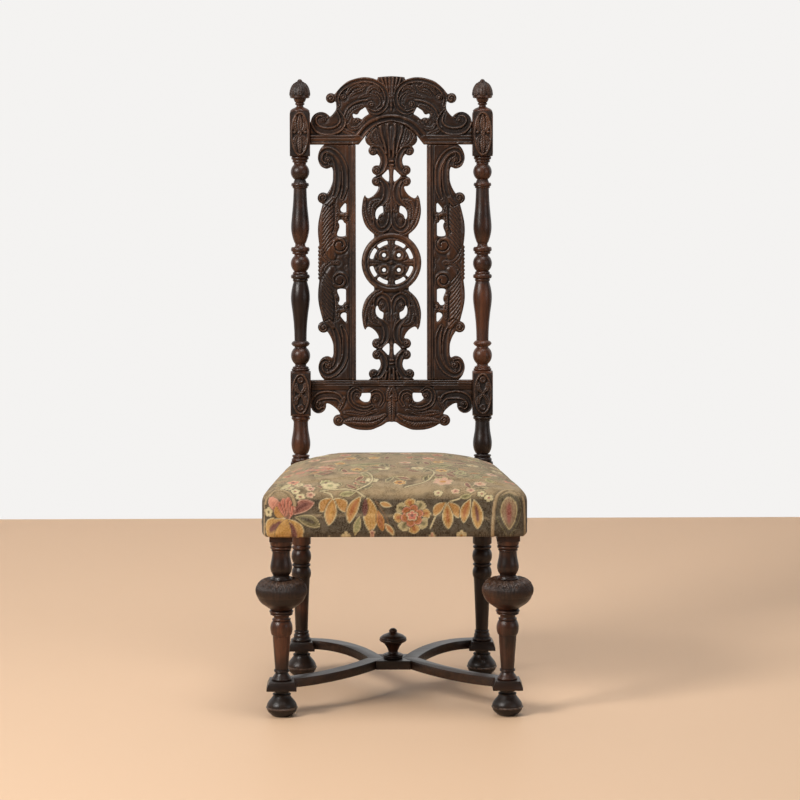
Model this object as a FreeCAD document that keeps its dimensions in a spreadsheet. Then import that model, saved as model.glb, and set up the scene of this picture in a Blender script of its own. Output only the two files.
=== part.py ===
import FreeCAD, Part
import Sketcher
import math
import os

# High-back side chair with turned posts, pierced carved back, stuffed seat and crossed stretcher.
# Millimetres. X is to the sitter's left, seen from the front to the viewer's right. The front
# faces -Y and Z is up. The origin lies on the floor under the middle of the chair's outer box.

Vector = FreeCAD.Vector
Placement = FreeCAD.Placement
Rotation = FreeCAD.Rotation

doc = FreeCAD.newDocument("chair")

# Driving dimensions: name, value, what it measures
SIZES = [
    ("front_leg_spacing", 452, "between the axes of the front legs"),
    ("rear_leg_spacing", 380, "between the axes of the rear posts"),
    ("leg_depth_spacing", 374, "from the front legs' axes to the rear posts' axes"),
    ("back_rake", 4.6, "lean of the back in degrees"),
    ("bend_height", 430, "floor to the bend of the rear posts"),
    ("foot_height", 55.5, "floor to the underside of the stretcher"),
    ("foot_radius", 30.8, "widest ring of a bun foot"),
    ("foot_dowel_radius", 8, "dowel on top of a foot"),
    ("foot_dowel_grip", 24, "length of the dowel inside the leg"),
    ("stretcher_thickness", 18, "height of the stretcher's section"),
    ("stretcher_width", 29, "width of a stretcher arm"),
    ("front_pad_width", 60, "square end block under a front leg"),
    ("rear_pad_width", 55, "square end block under a rear leg"),
    ("pad_edge", 5, "upright edge at the foot of an end block"),
    ("pad_slope", 5.5, "an end block's sides slope in by this up to its top"),
    ("hub_front_width", 42, "width of the hub between the arms"),
    ("hub_length", 70, "front to back length of the hub"),
    ("hub_dowel_radius", 4, "dowels across the hub"),
    ("stretcher_finial_height", 62, "knob above the hub"),
    ("stretcher_finial_radius", 28, "widest ring of the knob"),
    ("front_turning_height", 283.5, "turned length of a front leg above the stretcher"),
    ("front_block_width", 46, "square top block of a front leg"),
    ("front_cup_radius", 51, "widest ring of the front legs' cup"),
    ("rear_turning_height", 226.5, "turned length of a rear leg above the stretcher"),
    ("post_block_width", 42, "square blocks of a rear post"),
    ("seat_block_rise", 24, "square seat block above the bend"),
    ("seat_turning_height", 96.5, "turned length between seat block and lower block"),
    ("lower_block_height", 95, "lower carved block of a post"),
    ("upper_turning_height", 446.5, "turned length between the carved blocks"),
    ("upper_block_height", 92, "upper carved block of a post"),
    ("post_finial_height", 68.5, "acorn above the upper block"),
    ("post_finial_radius", 20.4, "widest ring of the acorn"),
    ("post_finial_dowel_radius", 6, "dowel under the acorn"),
    ("post_finial_dowel_length", 30, "length of that dowel"),
    ("board_thickness", 22, "crest rail and back rail"),
    ("panel_thickness", 20, "side panels and splat"),
    ("crest_height", 142, "crest rail from its lower edge to its top"),
    ("crest_lift", 24.5, "lower edge of the crest rail above the upper blocks' lower end"),
    ("apron_height", 105, "back rail with its apron"),
    ("apron_drop", 75.5, "top of the back rail above the lower blocks' lower end"),
    ("splat_width", 125, "width of the splat across its roundel"),
    ("panel_width", 81, "side panel from its inner edge to its outermost scroll"),
    ("panel_inset", 74, "inner edge of a side panel from the chair's middle"),
    ("back_tenon_length", 14, "tenons of crest rail and back rail"),
    ("back_tenon_thickness", 9, "tenons of crest rail and back rail"),
    ("back_tenon_height", 42, "tenons of crest rail and back rail"),
    ("tongue_thickness", 8, "tongues of splat and side panels"),
    ("tongue_height", 9, "tongues of splat and side panels"),
    ("peg_radius", 3, "pegs through the back's tenons"),
    ("rail_drop", 2, "top of the seat rails below the bend"),
    ("rail_height", 58, "seat rails"),
    ("rail_thickness", 26, "seat rails"),
    ("rail_tenon_length", 16, "tenons of the seat rails"),
    ("rail_tenon_thickness", 9, "tenons of the seat rails"),
    ("rail_tenon_height", 48, "tenons of the seat rails"),
    ("block_reach", 48, "corner block along each rail"),
    ("block_height", 42, "corner block"),
    ("screw_radius", 2.2, "corner block screws"),
    ("screw_head_radius", 4.4, "corner block screws"),
    ("screw_length", 34, "corner block screws"),
    ("webbing_width", 50, "one strap of webbing"),
    ("webbing_thickness", 1.8, "one strap of webbing"),
    ("webbing_overlap", 20, "strap lying on the rail"),
    ("tack_head_radius", 3.2, "upholstery tacks"),
    ("tack_head_thickness", 0.8, "upholstery tacks"),
    ("tack_radius", 0.9, "upholstery tacks"),
    ("tack_length", 11, "upholstery tacks"),
    ("hessian_thickness", 1.2, "base cloth"),
    ("cover_thickness", 2.2, "tapestry cover"),
    ("cover_hem", 19, "cover turned under the rails"),
    ("padding", 15, "stuffing outside the frame at front and sides"),
    ("rear_padding", 4, "stuffing outside the frame at the back"),
    ("crown_height", 64, "middle of the seat's top above the rails"),
    ("rim_height", 12, "front corners of the seat's top above the rails"),
    ("seat_corner_radius", 34, "front corners of the seat in plan"),
    ("seat_edge_radius", 27, "roll between the seat's top and sides"),
    ("joint_clearance", 0.2, "gap in wooden joints"),
    ("cloth_clearance", 0.3, "gap round soft pieces"),
    ("overrun", 2, "extra length of every cut"),
]

sheet = doc.addObject("Spreadsheet::Sheet", "Sizes")
for row, (name, value, meaning) in enumerate(SIZES, start=1):
    sheet.set(f"A{row}", name)
    sheet.set(f"B{row}", str(value))
    sheet.set(f"C{row}", meaning)
    sheet.setAlias(f"B{row}", name)
doc.recompute()


def size(name):
    """The value of one named cell."""
    return float(sheet.get(name))


class Measure:
    """A length worked out from the sheet: the expression that objects follow, and its number."""

    def __init__(self, text, number):
        self.text = text
        self.number = number

    def __str__(self):
        return self.text

    def __float__(self):
        return self.number

    def __add__(self, other):
        return Measure(f"({self} + {other})", self.number + float(other))

    def __sub__(self, other):
        return Measure(f"({self} - {other})", self.number - float(other))

    def __radd__(self, other):
        return Measure(f"({other} + {self})", float(other) + self.number)

    def __rsub__(self, other):
        return Measure(f"({other} - {self})", float(other) - self.number)

    def __mul__(self, other):
        return Measure(f"({other} * {self})", self.number * float(other))

    def __truediv__(self, other):
        return Measure(f"({self} / {other})", self.number / float(other))

    def __neg__(self):
        return Measure(f"(-1 * {self})", -self.number)

    __rmul__ = __mul__


def cell(name):
    """One named cell as a measure."""
    return Measure(f"Sizes.{name}", size(name))


clearance = size("joint_clearance")
cloth_gap = size("cloth_clearance")
overrun = size("overrun")
rake = math.radians(size("back_rake"))

# Places that follow from the driving dimensions, as expressions that objects are bound to
FRONT_X = cell("front_leg_spacing") / 2
REAR_X = cell("rear_leg_spacing") / 2
HALF_DEPTH = cell("leg_depth_spacing") / 2
FRONT_BLOCK_HALF = cell("front_block_width") / 2
POST_HALF = cell("post_block_width") / 2
HALF_RAIL = cell("rail_thickness") / 2
GAP = cell("joint_clearance")
RAIL_TOP = cell("bend_height") - cell("rail_drop")
RAIL_BOTTOM = RAIL_TOP - cell("rail_height")
FRONT_SHOULDER_Y = FRONT_BLOCK_HALF - HALF_DEPTH
REAR_SHOULDER_Y = HALF_DEPTH - POST_HALF
FRONT_RAIL_Y = HALF_RAIL - HALF_DEPTH - FRONT_BLOCK_HALF
REAR_RAIL_Y = HALF_DEPTH + POST_HALF - HALF_RAIL
SIDE_FRONT_X = FRONT_X + FRONT_BLOCK_HALF - HALF_RAIL
SIDE_REAR_X = REAR_X + POST_HALF - HALF_RAIL
STRAP_LEVEL = RAIL_TOP + GAP
LONG_LEVEL = STRAP_LEVEL + cell("webbing_thickness") + GAP
HESSIAN_LEVEL = LONG_LEVEL + cell("webbing_thickness") + GAP + cell("tack_head_thickness")

# The same places as numbers, for shapes that the code makes itself
front_x = float(FRONT_X)
rear_x = float(REAR_X)
half_depth = float(HALF_DEPTH)
front_block_half = float(FRONT_BLOCK_HALF)
post_half = float(POST_HALF)
stretcher_top = size("foot_height") + size("stretcher_thickness")
front_block_bottom = stretcher_top + size("front_turning_height")
rear_block_bottom = stretcher_top + size("rear_turning_height")
rail_top = float(RAIL_TOP)
rail_bottom = float(RAIL_BOTTOM)

# Heights along the raked back, counted from the bend
lower_block_start = size("seat_block_rise") + size("seat_turning_height")
upper_turning_start = lower_block_start + size("lower_block_height")
upper_block_start = upper_turning_start + size("upper_turning_height")
post_top = upper_block_start + size("upper_block_height")
crest_bottom = upper_block_start + size("crest_lift")
back_rail_top = lower_block_start + size("apron_drop")
back_half_span = rear_x - post_half
panel_middle = (crest_bottom + back_rail_top) / 2
panel_half_height = (crest_bottom - back_rail_top) / 2

# The acorns reach furthest back and the cups furthest forward. Half the difference centres the box
ACORN_WIDEST_SHARE = 0.48
acorn_height = post_top + size("post_finial_height") * ACORN_WIDEST_SHARE
acorn_reach = acorn_height * math.sin(rake) + size("post_finial_radius") * math.cos(rake)
centre_shift = (size("front_cup_radius") - acorn_reach) / 2

ground = Placement(Vector(0, centre_shift, 0), Rotation())
bend = Placement(
    Vector(0, centre_shift + half_depth, size("bend_height")),
    Rotation(Vector(1, 0, 0), -size("back_rake")),
)

SIDES = (("left", -1), ("right", 1))
pieces = []


def keep_piece(label, item, frame):
    """Names an object as one sub-part and puts it in its frame."""
    item.Label = label
    item.Placement = frame.multiply(item.Placement)
    pieces.append(item)


def add_piece(label, shape, frame):
    """One sub-part whose carved or turned shape was made in the given frame."""
    item = doc.addObject("Part::Feature", label)
    item.Shape = shape
    keep_piece(label, item, frame)


def bind(item, bindings):
    """Ties properties of an object to expressions of the sheet's cells."""
    for target, expression in bindings.items():
        item.setExpression(target, str(expression))


def bound_box(name, sides, centre_x, centre_y, bottom):
    """A box whose sides and place are measures, centred in plan."""
    item = doc.addObject("Part::Box", name)
    length, width, height = sides
    bind(item, {
        "Length": length,
        "Width": width,
        "Height": height,
        "Placement.Base.x": centre_x - length / 2,
        "Placement.Base.y": centre_y - width / 2,
        "Placement.Base.z": bottom,
    })
    return item


def bound_rod(name, radius, length, start, turn):
    """A round rod whose sizes and start are measures, turned from upright by a rotation."""
    item = doc.addObject("Part::Cylinder", name)
    item.Placement = Placement(Vector(), turn)
    x, y, z = start
    bind(item, {
        "Radius": radius,
        "Height": length,
        "Placement.Base.x": x,
        "Placement.Base.y": y,
        "Placement.Base.z": z,
    })
    return item


def bound_prism(name, corners, bottom, height):
    """A body with one pad over a polygon whose corners are measures."""
    body = doc.addObject("PartDesign::Body", name)
    plane = next(item for item in body.Origin.OriginFeatures if item.Role == "XY_Plane")
    sketch = body.newObject("Sketcher::SketchObject", f"{name}_plan")
    sketch.AttachmentSupport = (plane, "")
    sketch.MapMode = "FlatFace"
    sketch.setExpression("AttachmentOffset.Base.z", str(bottom))
    points = [Vector(float(x), float(y), 0) for x, y in corners]
    for start, end in zip(points, points[1:] + points[:1]):
        sketch.addGeometry(Part.LineSegment(start, end))
    for index, (x, y) in enumerate(corners):
        following = (index + 1) % len(corners)
        sketch.addConstraint(Sketcher.Constraint("Coincident", index, 2, following, 1))
        for kind, expression in (("DistanceX", x), ("DistanceY", y)):
            rule = Sketcher.Constraint(kind, -1, 1, index, 1, float(expression))
            number = sketch.addConstraint(rule)
            sketch.setExpression(f"Constraints[{number}]", str(expression))
    pad = body.newObject("PartDesign::Pad", f"{name}_pad")
    pad.Profile = sketch
    pad.setExpression("Length", str(height))
    return body


def joined(name, items):
    """Several objects fused into one."""
    fusion = doc.addObject("Part::MultiFuse", name)
    fusion.Shapes = items
    fusion.Refine = True
    return fusion


def grouped(name, items):
    """Separate solids kept together as one sub-part."""
    group = doc.addObject("Part::Compound", name)
    group.Links = items
    return group


def drilled(name, item, tool):
    """An object with a tool's shape taken out of it."""
    result = doc.addObject("Part::Cut", name)
    result.Base = item
    result.Tool = tool
    return result


def cutting_tool(name, shapes):
    """Holes for fasteners, gathered into one tool."""
    tool = doc.addObject("Part::Feature", name)
    tool.Shape = Part.makeCompound(shapes)
    return tool


def box(width, depth, height, centre_x, centre_y, bottom):
    """A block standing on its bottom height, centred in plan."""
    corner = Vector(centre_x - width / 2, centre_y - depth / 2, bottom)
    return Part.makeBox(width, depth, height, corner)


def rod(radius, length, start, direction):
    """A round rod from a start point along a direction."""
    return Part.makeCylinder(radius, length, start, direction)


def mirrored(shape):
    """The same shape on the other side of the chair."""
    return shape.mirror(Vector(0, 0, 0), Vector(1, 0, 0))


def for_side(shape, side):
    """A shape built for the right side, handed for the given side."""
    return shape if side > 0 else mirrored(shape)


# Turning. A moulding is its height and the radii along it: two make a cone or a band, three an
# arc, more a smooth curve
def scaled_mouldings(shares, height, radius):
    """Mouldings given as shares, turned into millimetres that fill the height."""
    whole = sum(moulding[0] for moulding in shares)
    return [
        (height * moulding[0] / whole, [radius * share for share in moulding[1:]])
        for moulding in shares
    ]


TOUCH_SHARE = 0.01


def turned(mouldings, bottom):
    """A solid of revolution about Z that starts at the bottom height."""
    edges = []
    foot = Vector(0, 0, bottom)
    last = foot
    level = bottom
    for height, radii in mouldings:
        step = height / (len(radii) - 1)
        points = [Vector(radius, 0, level + step * index) for index, radius in enumerate(radii)]
        if not points[0].isEqual(last, clearance * TOUCH_SHARE):
            edges.append(Part.makeLine(last, points[0]))
        if len(points) == 2:
            edges.append(Part.makeLine(points[0], points[1]))
        elif len(points) == 3:
            edges.append(Part.Arc(*points).toShape())
        else:
            curve = Part.BSplineCurve()
            curve.interpolate(points)
            edges.append(curve.toShape())
        last = points[-1]
        level += height
    head = Vector(0, 0, level)
    edges.append(Part.makeLine(last, head))
    edges.append(Part.makeLine(head, foot))
    profile = Part.Face(Part.Wire(edges))
    return profile.revolve(Vector(0, 0, 0), Vector(0, 0, 1), 360)


SHOULDER_SHARE = 0.3


def carved_block(width, bottom, height):
    """A square block left between turnings, its corners rounded off by the turner at both ends."""
    blank = rod(width / math.sqrt(2), height, Vector(0, 0, bottom), Vector(0, 0, 1))
    rims = [edge for edge in blank.Edges if isinstance(edge.Curve, Part.Circle)]
    rounded = blank.makeFillet(width * SHOULDER_SHARE, rims)
    return box(width, width, height, 0, 0, bottom).common(rounded)


# Radii below are shares of the half width of the square that the piece is turned from
UPPER_TURNING_SHARES = [
    (2.2, 0.80, 0.90, 0.84),
    (2, 0.76, 0.80, 0.70),
    (2.4, 0.66, 0.56, 0.57),
    (15.6, 0.58, 0.86, 0.955, 0.90, 0.64),
    (1.9, 0.62, 0.60, 0.63),
    (2.4, 0.72, 0.84, 0.92),
    (3, 0.92, 0.84, 0.62),
    (58, 0.60, 0.61, 0.64, 0.69, 0.76, 0.85, 0.93, 0.935, 0.84, 0.67),
    (3, 0.69, 0.76, 0.70),
    (4, 0.85, 0.94, 0.85),
    (3, 0.72, 0.75, 0.62),
    (15, 0.60, 0.86, 0.945, 0.88, 0.62),
    (1.9, 0.61, 0.59, 0.61),
    (2.5, 0.74, 0.80, 0.74),
    (4.4, 0.86, 0.93, 0.83),
    (4.4, 0.62, 0.50, 0.56),
    (53, 0.58, 0.80, 0.905, 0.885, 0.82, 0.75, 0.70, 0.66, 0.64),
    (2, 0.70, 0.76, 0.74),
    (3.4, 0.84, 0.88, 0.80),
    (3.2, 0.67, 0.61, 0.54),
    (14.4, 0.54, 0.84, 0.925, 0.86, 0.62),
    (2.2, 0.60, 0.62, 0.60),
    (2.8, 0.71, 0.76, 0.70),
    (3.1, 0.80, 0.87, 0.80),
]
SEAT_TURNING_SHARES = [
    (7, 0.84, 0.93, 0.84),
    (2, 0.76, 0.80, 0.76),
    (4, 0.76, 0.87, 0.76),
    (2, 0.62, 0.60, 0.64),
    (56, 0.68, 0.88, 0.945, 0.92, 0.84, 0.77, 0.73, 0.71),
    (3, 0.74, 0.78, 0.75),
    (6, 0.86, 0.93, 0.84),
]
REAR_LEG_SHARES = [
    (5, 0.90, 0.96, 0.92),
    (4, 0.84, 0.80, 0.74),
    (7, 0.80, 0.78, 0.66),
    (5, 0.66, 0.73, 0.66),
    (2, 0.60, 0.61),
    (104, 0.63, 0.66, 0.70, 0.74, 0.79, 0.84),
    (22, 0.86, 0.95, 0.97, 0.92, 0.80),
    (2, 0.74, 0.75),
    (5, 0.84, 0.93, 0.84),
    (2, 0.76, 0.77),
    (26, 0.80, 0.95, 0.99, 0.95, 0.80),
    (2, 0.75, 0.76),
    (6, 0.84, 0.93, 0.84),
    (4, 0.82, 0.79, 0.84),
    (18, 0.95, 0.95),
]
FRONT_SHAFT_SHARES = [
    (14, 0.84, 0.90, 0.86),
    (42, 0.84, 0.72, 0.60, 0.54),
    (8, 0.60, 0.67, 0.60),
    (8, 0.60, 0.68, 0.60),
    (4, 0.55, 0.56),
    (230, 0.58, 0.62, 0.66, 0.70, 0.74, 0.77),
    (8, 0.80, 0.86),
    (92, 0.88, 0.95, 0.975, 0.93, 0.80),
    (6, 0.71, 0.70),
    (12, 0.76, 0.81, 0.76),
    (26, 0.70, 0.67, 0.78),
    (10, 0.88, 0.98, 0.93),
    (4, 0.88, 0.89),
    (16, 0.96, 1.05, 0.96),
    (6, 0.88, 0.80),
]
# Radii of the cup are shares of its own widest radius
FRONT_CUP_SHARES = [
    (53, 0.42, 0.62, 0.81, 0.915, 0.97, 0.99, 0.955, 0.86, 0.45),
]
FRONT_NECK_SHARES = [
    (3, 0.86, 0.93, 0.86),
    (4, 0.84, 0.80, 0.72),
    (2, 0.69, 0.70),
    (41, 0.71, 0.88, 0.945, 0.935, 0.88, 0.82, 0.78, 0.76),
    (1.5, 0.75, 0.74),
    (3, 0.80, 0.86, 0.80),
    (1.5, 0.78, 0.78),
    (5, 0.86, 0.95, 0.86),
    (2, 0.82, 0.84),
    (8, 0.95, 0.95),
]
SHAFT_SHARE = 0.507
CUP_SHARE = 0.211

# Radii of the foot are shares of its widest ring
FOOT_SHARES = [
    (58, 0.56, 0.74, 0.87, 0.95, 0.975),
    (10, 0.97, 1.0, 0.97),
    (88, 0.985, 0.96, 0.88, 0.76, 0.63, 0.55),
    (8, 0.54, 0.60, 0.54),
    (22, 0.49, 0.46, 0.48),
    (14, 0.52, 0.60, 0.54),
]
POST_FINIAL_SHARES = [
    (18, 0.92, 0.98, 0.92),
    (24, 0.90, 0.79, 0.57, 0.40),
    (14, 0.36, 0.35, 0.36),
    (16, 0.42, 0.49, 0.42),
    (4, 0.40, 0.42),
    (32, 0.47, 0.56, 0.62, 0.65),
    (5, 0.88, 0.98),
    (14, 1.0, 1.0),
    (106, 0.99, 0.985, 0.955, 0.89, 0.79, 0.62, 0.34),
    (4, 0.27, 0.24),
    (20, 0.20, 0.25, 0.20, 0.05),
]
STRETCHER_FINIAL_SHARES = [
    (24, 0.65, 0.71, 0.68),
    (30, 0.70, 0.76, 0.70),
    (12, 0.66, 0.58),
    (30, 0.48, 0.38, 0.35),
    (20, 0.34, 0.36),
    (120, 0.37, 0.42, 0.50, 0.60, 0.69),
    (10, 0.75, 0.78),
    (46, 0.82, 0.95, 1.0, 0.985),
    (30, 0.95, 0.98, 0.92),
    (74, 0.90, 0.82, 0.66, 0.44, 0.28),
    (64, 0.25, 0.30, 0.25, 0.05),
]


def turning(shares, height, radius, bottom):
    """A turned length whose mouldings fill the given height."""
    return turned(scaled_mouldings(shares, height, radius), bottom)


# Carved boards. An outline is a list of runs. Each run is a smooth curve, or a line where it has
# two points, and starts where the run before it ended
def outline_face(runs):
    """A flat face in the XZ plane inside a closed outline of runs."""
    edges = []
    for points in runs:
        if len(points) == 2:
            edges.append(Part.makeLine(points[0], points[1]))
        else:
            curve = Part.BSplineCurve()
            curve.interpolate(points)
            edges.append(curve.toShape())
    return Part.Face(Part.Wire(edges))


def share_runs(runs, width, height, x_start, z_start):
    """Runs of shares turned into points, each run starting at the end of the one before."""
    last = runs[-1][-1]
    placed = []
    for run in runs:
        shares = [last] + list(run)
        placed.append([Vector(x_start + u * width, 0, z_start + v * height) for u, v in shares])
        last = shares[-1]
    return placed


def board_from(face, thickness):
    """A face in the XZ plane given its thickness, half in front of the plane and half behind."""
    board = face.extrude(Vector(0, thickness, 0))
    board.translate(Vector(0, -thickness / 2, 0))
    return board


def disc(radius, thickness, centre_x, centre_z):
    """A round boss or cutter through a board."""
    return rod(radius, thickness, Vector(centre_x, -thickness / 2, centre_z), Vector(0, 1, 0))


# Crest rail: shares of the half span between the posts and of the rail's height
CREST_OUTLINE_SHARES = [
    [(0.402, 0)],
    [(0.367, 0.053), (0.325, 0.116), (0.237, 0.229), (0.118, 0.313), (0, 0.342)],
    [(0, 1)],
    [(0.08, 0.995), (0.166, 0.985)],
    [(0.170, 0.945)],
    [(0.225, 0.969), (0.296, 0.985), (0.385, 0.980), (0.473, 0.954), (0.533, 0.926), (0.59, 0.877),
     (0.65, 0.806), (0.692, 0.745)],
    [(0.680, 0.595)],
    [(0.677, 0.55), (0.686, 0.5)],
    [(0.722, 0.445), (0.751, 0.412)],
    [(0.80, 0.33)],
    [(1, 0.33)],
    [(1, 0)],
]
CREST_BALL_SHARES = (0.743, 0.68, 0.074)
CREST_VOLUTE_SHARES = (0.864, 0.327, 0.152)
CREST_WINDOW_SHARES = [
    [(0.296, 0.496), (0.272, 0.447)],
    [(0.325, 0.412), (0.367, 0.366)],
    [(0.39, 0.388), (0.42, 0.396), (0.456, 0.384)],
    [(0.473, 0.419), (0.470, 0.458)],
    [(0.40, 0.465), (0.385, 0.496), (0.355, 0.521), (0.32, 0.56)],
]

# Back rail: shares of the half span and of the apron's height, counted down from its top
APRON_OUTLINE_SHARES = [
    [(1, -0.55)],
    [(0.90, -0.55)],
    [(0.803, -0.462)],
    [(0.767, -0.476), (0.720, -0.524), (0.679, -0.581), (0.650, -0.638), (0.637, -0.686)],
    [(0.59, -0.876)],
    [(0.561, -0.905), (0.50, -0.952), (0.413, -0.990), (0.325, -1.0), (0.236, -0.986),
     (0.177, -0.948), (0.118, -0.905), (0.07, -0.852)],
    [(0.035, -0.835), (0, -0.838)],
    [(0, 0)],
    [(1, 0)],
]
APRON_VOLUTE_SHARES = (0.905, -0.51, 0.152)
APRON_BALL_SHARES = (0.655, -0.805, 0.114)
APRON_WINDOW_SHARES = [
    [(0.26, -0.257)],
    [(0.262, -0.343), (0.278, -0.424)],
    [(0.325, -0.443), (0.367, -0.419), (0.396, -0.376)],
    [(0.390, -0.343), (0.372, -0.295), (0.39, -0.262)],
]

# Side panel: shares of its width from the inner edge, and of its half height from its middle
PANEL_OUTLINE_SHARES = [
    [(0.815, 1)],
    [(0.914, 0.963), (0.963, 0.923), (0.975, 0.89), (0.950, 0.85), (0.890, 0.817), (0.80, 0.80),
     (0.73, 0.797), (0.667, 0.805), (0.617, 0.813)],
    [(0.593, 0.789), (0.586, 0.736), (0.593, 0.695), (0.623, 0.66), (0.667, 0.626), (0.716, 0.60)],
    [(0.852, 0.50)],
    [(0.889, 0.455), (0.938, 0.39), (0.975, 0.313), (0.975, 0.24), (0.957, 0.18), (0.940, 0.14)],
    [(0.940, -0.01)],
    [(0, -0.01)],
    [(0, 1)],
]
PANEL_BALL_SHARES = (0.84, 0.549, 0.0478)
PANEL_TOOTH_SHARES = (0.938, 0.130, 0.0135)
PANEL_TEETH_PER_HALF = 5
PANEL_UPPER_WINDOW_SHARES = [
    [(0.33, 0.487), (0.395, 0.459)],
    [(0.358, 0.431), (0.27, 0.427), (0.247, 0.43)],
    [(0.247, 0.516)],
]
PANEL_LOWER_WINDOW_SHARES = [
    [(0.296, 0.337), (0.333, 0.358), (0.42, 0.362), (0.457, 0.341)],
    [(0.42, 0.313), (0.432, 0.289), (0.469, 0.26), (0.48, 0.228)],
    [(0.383, 0.222), (0.26, 0.228)],
    [(0.26, 0.34)],
]

# Splat: shares of its half width and of its half height between the rails, from its middle
SPLAT_OUTLINE_SHARES = [
    [(0.58, 0.20)],
    [(0.58, 0.24)],
    [(0.74, 0.275), (0.84, 0.305), (0.96, 0.38), (0.99, 0.44), (0.97, 0.50), (0.93, 0.55),
     (0.87, 0.578)],
    [(0.83, 0.555), (0.78, 0.547), (0.725, 0.55), (0.61, 0.567), (0.515, 0.592), (0.45, 0.62),
     (0.42, 0.65)],
    [(0.42, 0.80)],
    [(0.385, 0.84), (0.368, 0.864), (0.385, 0.89), (0.45, 0.915)],
    [(0.60, 0.97)],
    [(0.69, 0.99)],
    [(0.775, 1.0), (0.84, 1.02), (0.87, 1.053), (0.84, 1.078), (0.76, 1.11), (0.60, 1.16),
     (0.30, 1.20), (0, 1.22)],
    [(0, 0.20)],
]
SPLAT_BALLS_SHARES = [(0.485, 0.69, 0.168), (0.485, 0.785, 0.163), (0.60, 0.95, 0.163)]
SPLAT_KITE_SHARES = [
    [(0.21, 0.706), (0.32, 0.737)],
    [(0.21, 0.764), (0.09, 0.797)],
    [(0.07, 0.74), (0.08, 0.682)],
]
SPLAT_CRESCENT_SHARES = [
    [(0.40, 0.473), (0.50, 0.445), (0.53, 0.412), (0.515, 0.38), (0.47, 0.36)],
    [(0.44, 0.385), (0.38, 0.41), (0.31, 0.42), (0.265, 0.425)],
    [(0.275, 0.455), (0.29, 0.484)],
]
ROUNDEL_LIGHT_INNER_SHARE = 0.615
ROUNDEL_LIGHT_OUTER_SHARE = 0.745
ROUNDEL_LIGHT_START = 10.5
ROUNDEL_LIGHT_SWEEP = 30.5
RIGHT_ANGLE = 90
ROUNDEL_HOLE_SHARES = (0.248, 0.066)


def place_disc(shares, width, height, x_start, z_start, radius_of, thickness):
    """A disc whose centre and radius are shares of a board's sizes."""
    u, v, r = shares
    return disc(r * radius_of, thickness, x_start + u * width, z_start + v * height)


def symmetrical(half):
    """A half board fused with its mirror image."""
    return half.fuse(mirrored(half)).removeSplitter()


def back_tenon(frame_middle, gap):
    """The right-hand tenon of a rail of the back, or with a gap the mortise for it."""
    length = size("back_tenon_length") + gap
    return box(
        length + overrun,
        size("back_tenon_thickness") + 2 * gap,
        size("back_tenon_height") + 2 * gap,
        back_half_span + (length - overrun) / 2,
        0,
        frame_middle - size("back_tenon_height") / 2 - gap,
    )


crest_tenon_middle = crest_bottom + size("back_tenon_height") / 2 + size("tongue_height") / 2
rail_tenon_middle = back_rail_top - size("back_tenon_height") / 2 - size("tongue_height") / 2


PEG_X = REAR_X - POST_HALF + cell("back_tenon_length") / 2
PEG_LENGTH = POST_HALF + cell("back_tenon_thickness")


def peg_hole(height):
    """The hole for a right-hand peg that is driven from behind through a tenon."""
    start = Vector(float(PEG_X), post_half + overrun, height)
    length = float(PEG_LENGTH) + overrun + clearance
    return rod(size("peg_radius") + clearance, length, start, Vector(0, -1, 0))


def bound_pegs():
    """Four pegs, their heads flush with the backs of the posts."""
    turn = Rotation(Vector(1, 0, 0), 90)
    return [
        bound_rod(f"peg_{name}_{side_name}", cell("peg_radius"), PEG_LENGTH,
                  (side * PEG_X, POST_HALF, str(height)), turn)
        for name, height in (("upper", crest_tenon_middle), ("lower", rail_tenon_middle))
        for side_name, side in SIDES
    ]


TONGUE_START_SHARE = 0.10
TONGUE_END_SHARE = 0.78


def panel_tongues(gap):
    """The right-hand side panel's tongues above and below, or with a gap the grooves for them."""
    start = size("panel_inset") + size("panel_width") * TONGUE_START_SHARE - gap
    end = size("panel_inset") + size("panel_width") * TONGUE_END_SHARE + gap
    height = 2 * size("tongue_height") + gap
    lower = back_rail_top - size("tongue_height") - gap
    return [
        box(end - start, size("tongue_thickness") + 2 * gap, height, (start + end) / 2, 0, bottom)
        for bottom in (lower, crest_bottom - size("tongue_height"))
    ]


SPLAT_TONGUE_SHARE = 0.40
CREST_ARCH_SHARE = 0.342
arch_top = crest_bottom + size("crest_height") * CREST_ARCH_SHARE


def splat_tongues(gap):
    """The splat's tongues in both rails, or with a gap the slots for them."""
    height = size("tongue_height")
    width = size("splat_width") * SPLAT_TONGUE_SHARE + 2 * gap
    thickness = size("tongue_thickness") + 2 * gap
    return [
        box(width, thickness, 2 * height + gap, 0, 0, back_rail_top - height - gap),
        box(width, thickness, 4 * height + gap, 0, 0, arch_top - 3 * height),
    ]


def crest_rail():
    width = back_half_span - clearance
    height = size("crest_height")
    thickness = size("board_thickness")
    outline = share_runs(CREST_OUTLINE_SHARES, width, height, 0, crest_bottom)
    half = board_from(outline_face(outline), thickness)
    for shares in (CREST_BALL_SHARES, CREST_VOLUTE_SHARES):
        half = half.fuse(place_disc(shares, width, height, 0, crest_bottom, height, thickness))
    window = share_runs(CREST_WINDOW_SHARES, width, height, 0, crest_bottom)
    half = half.cut(board_from(outline_face(window), thickness + overrun))
    half = half.fuse(back_tenon(crest_tenon_middle, 0))
    half = half.cut(panel_tongues(clearance) + [peg_hole(crest_tenon_middle)])
    return symmetrical(half).cut(splat_tongues(clearance))


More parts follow.
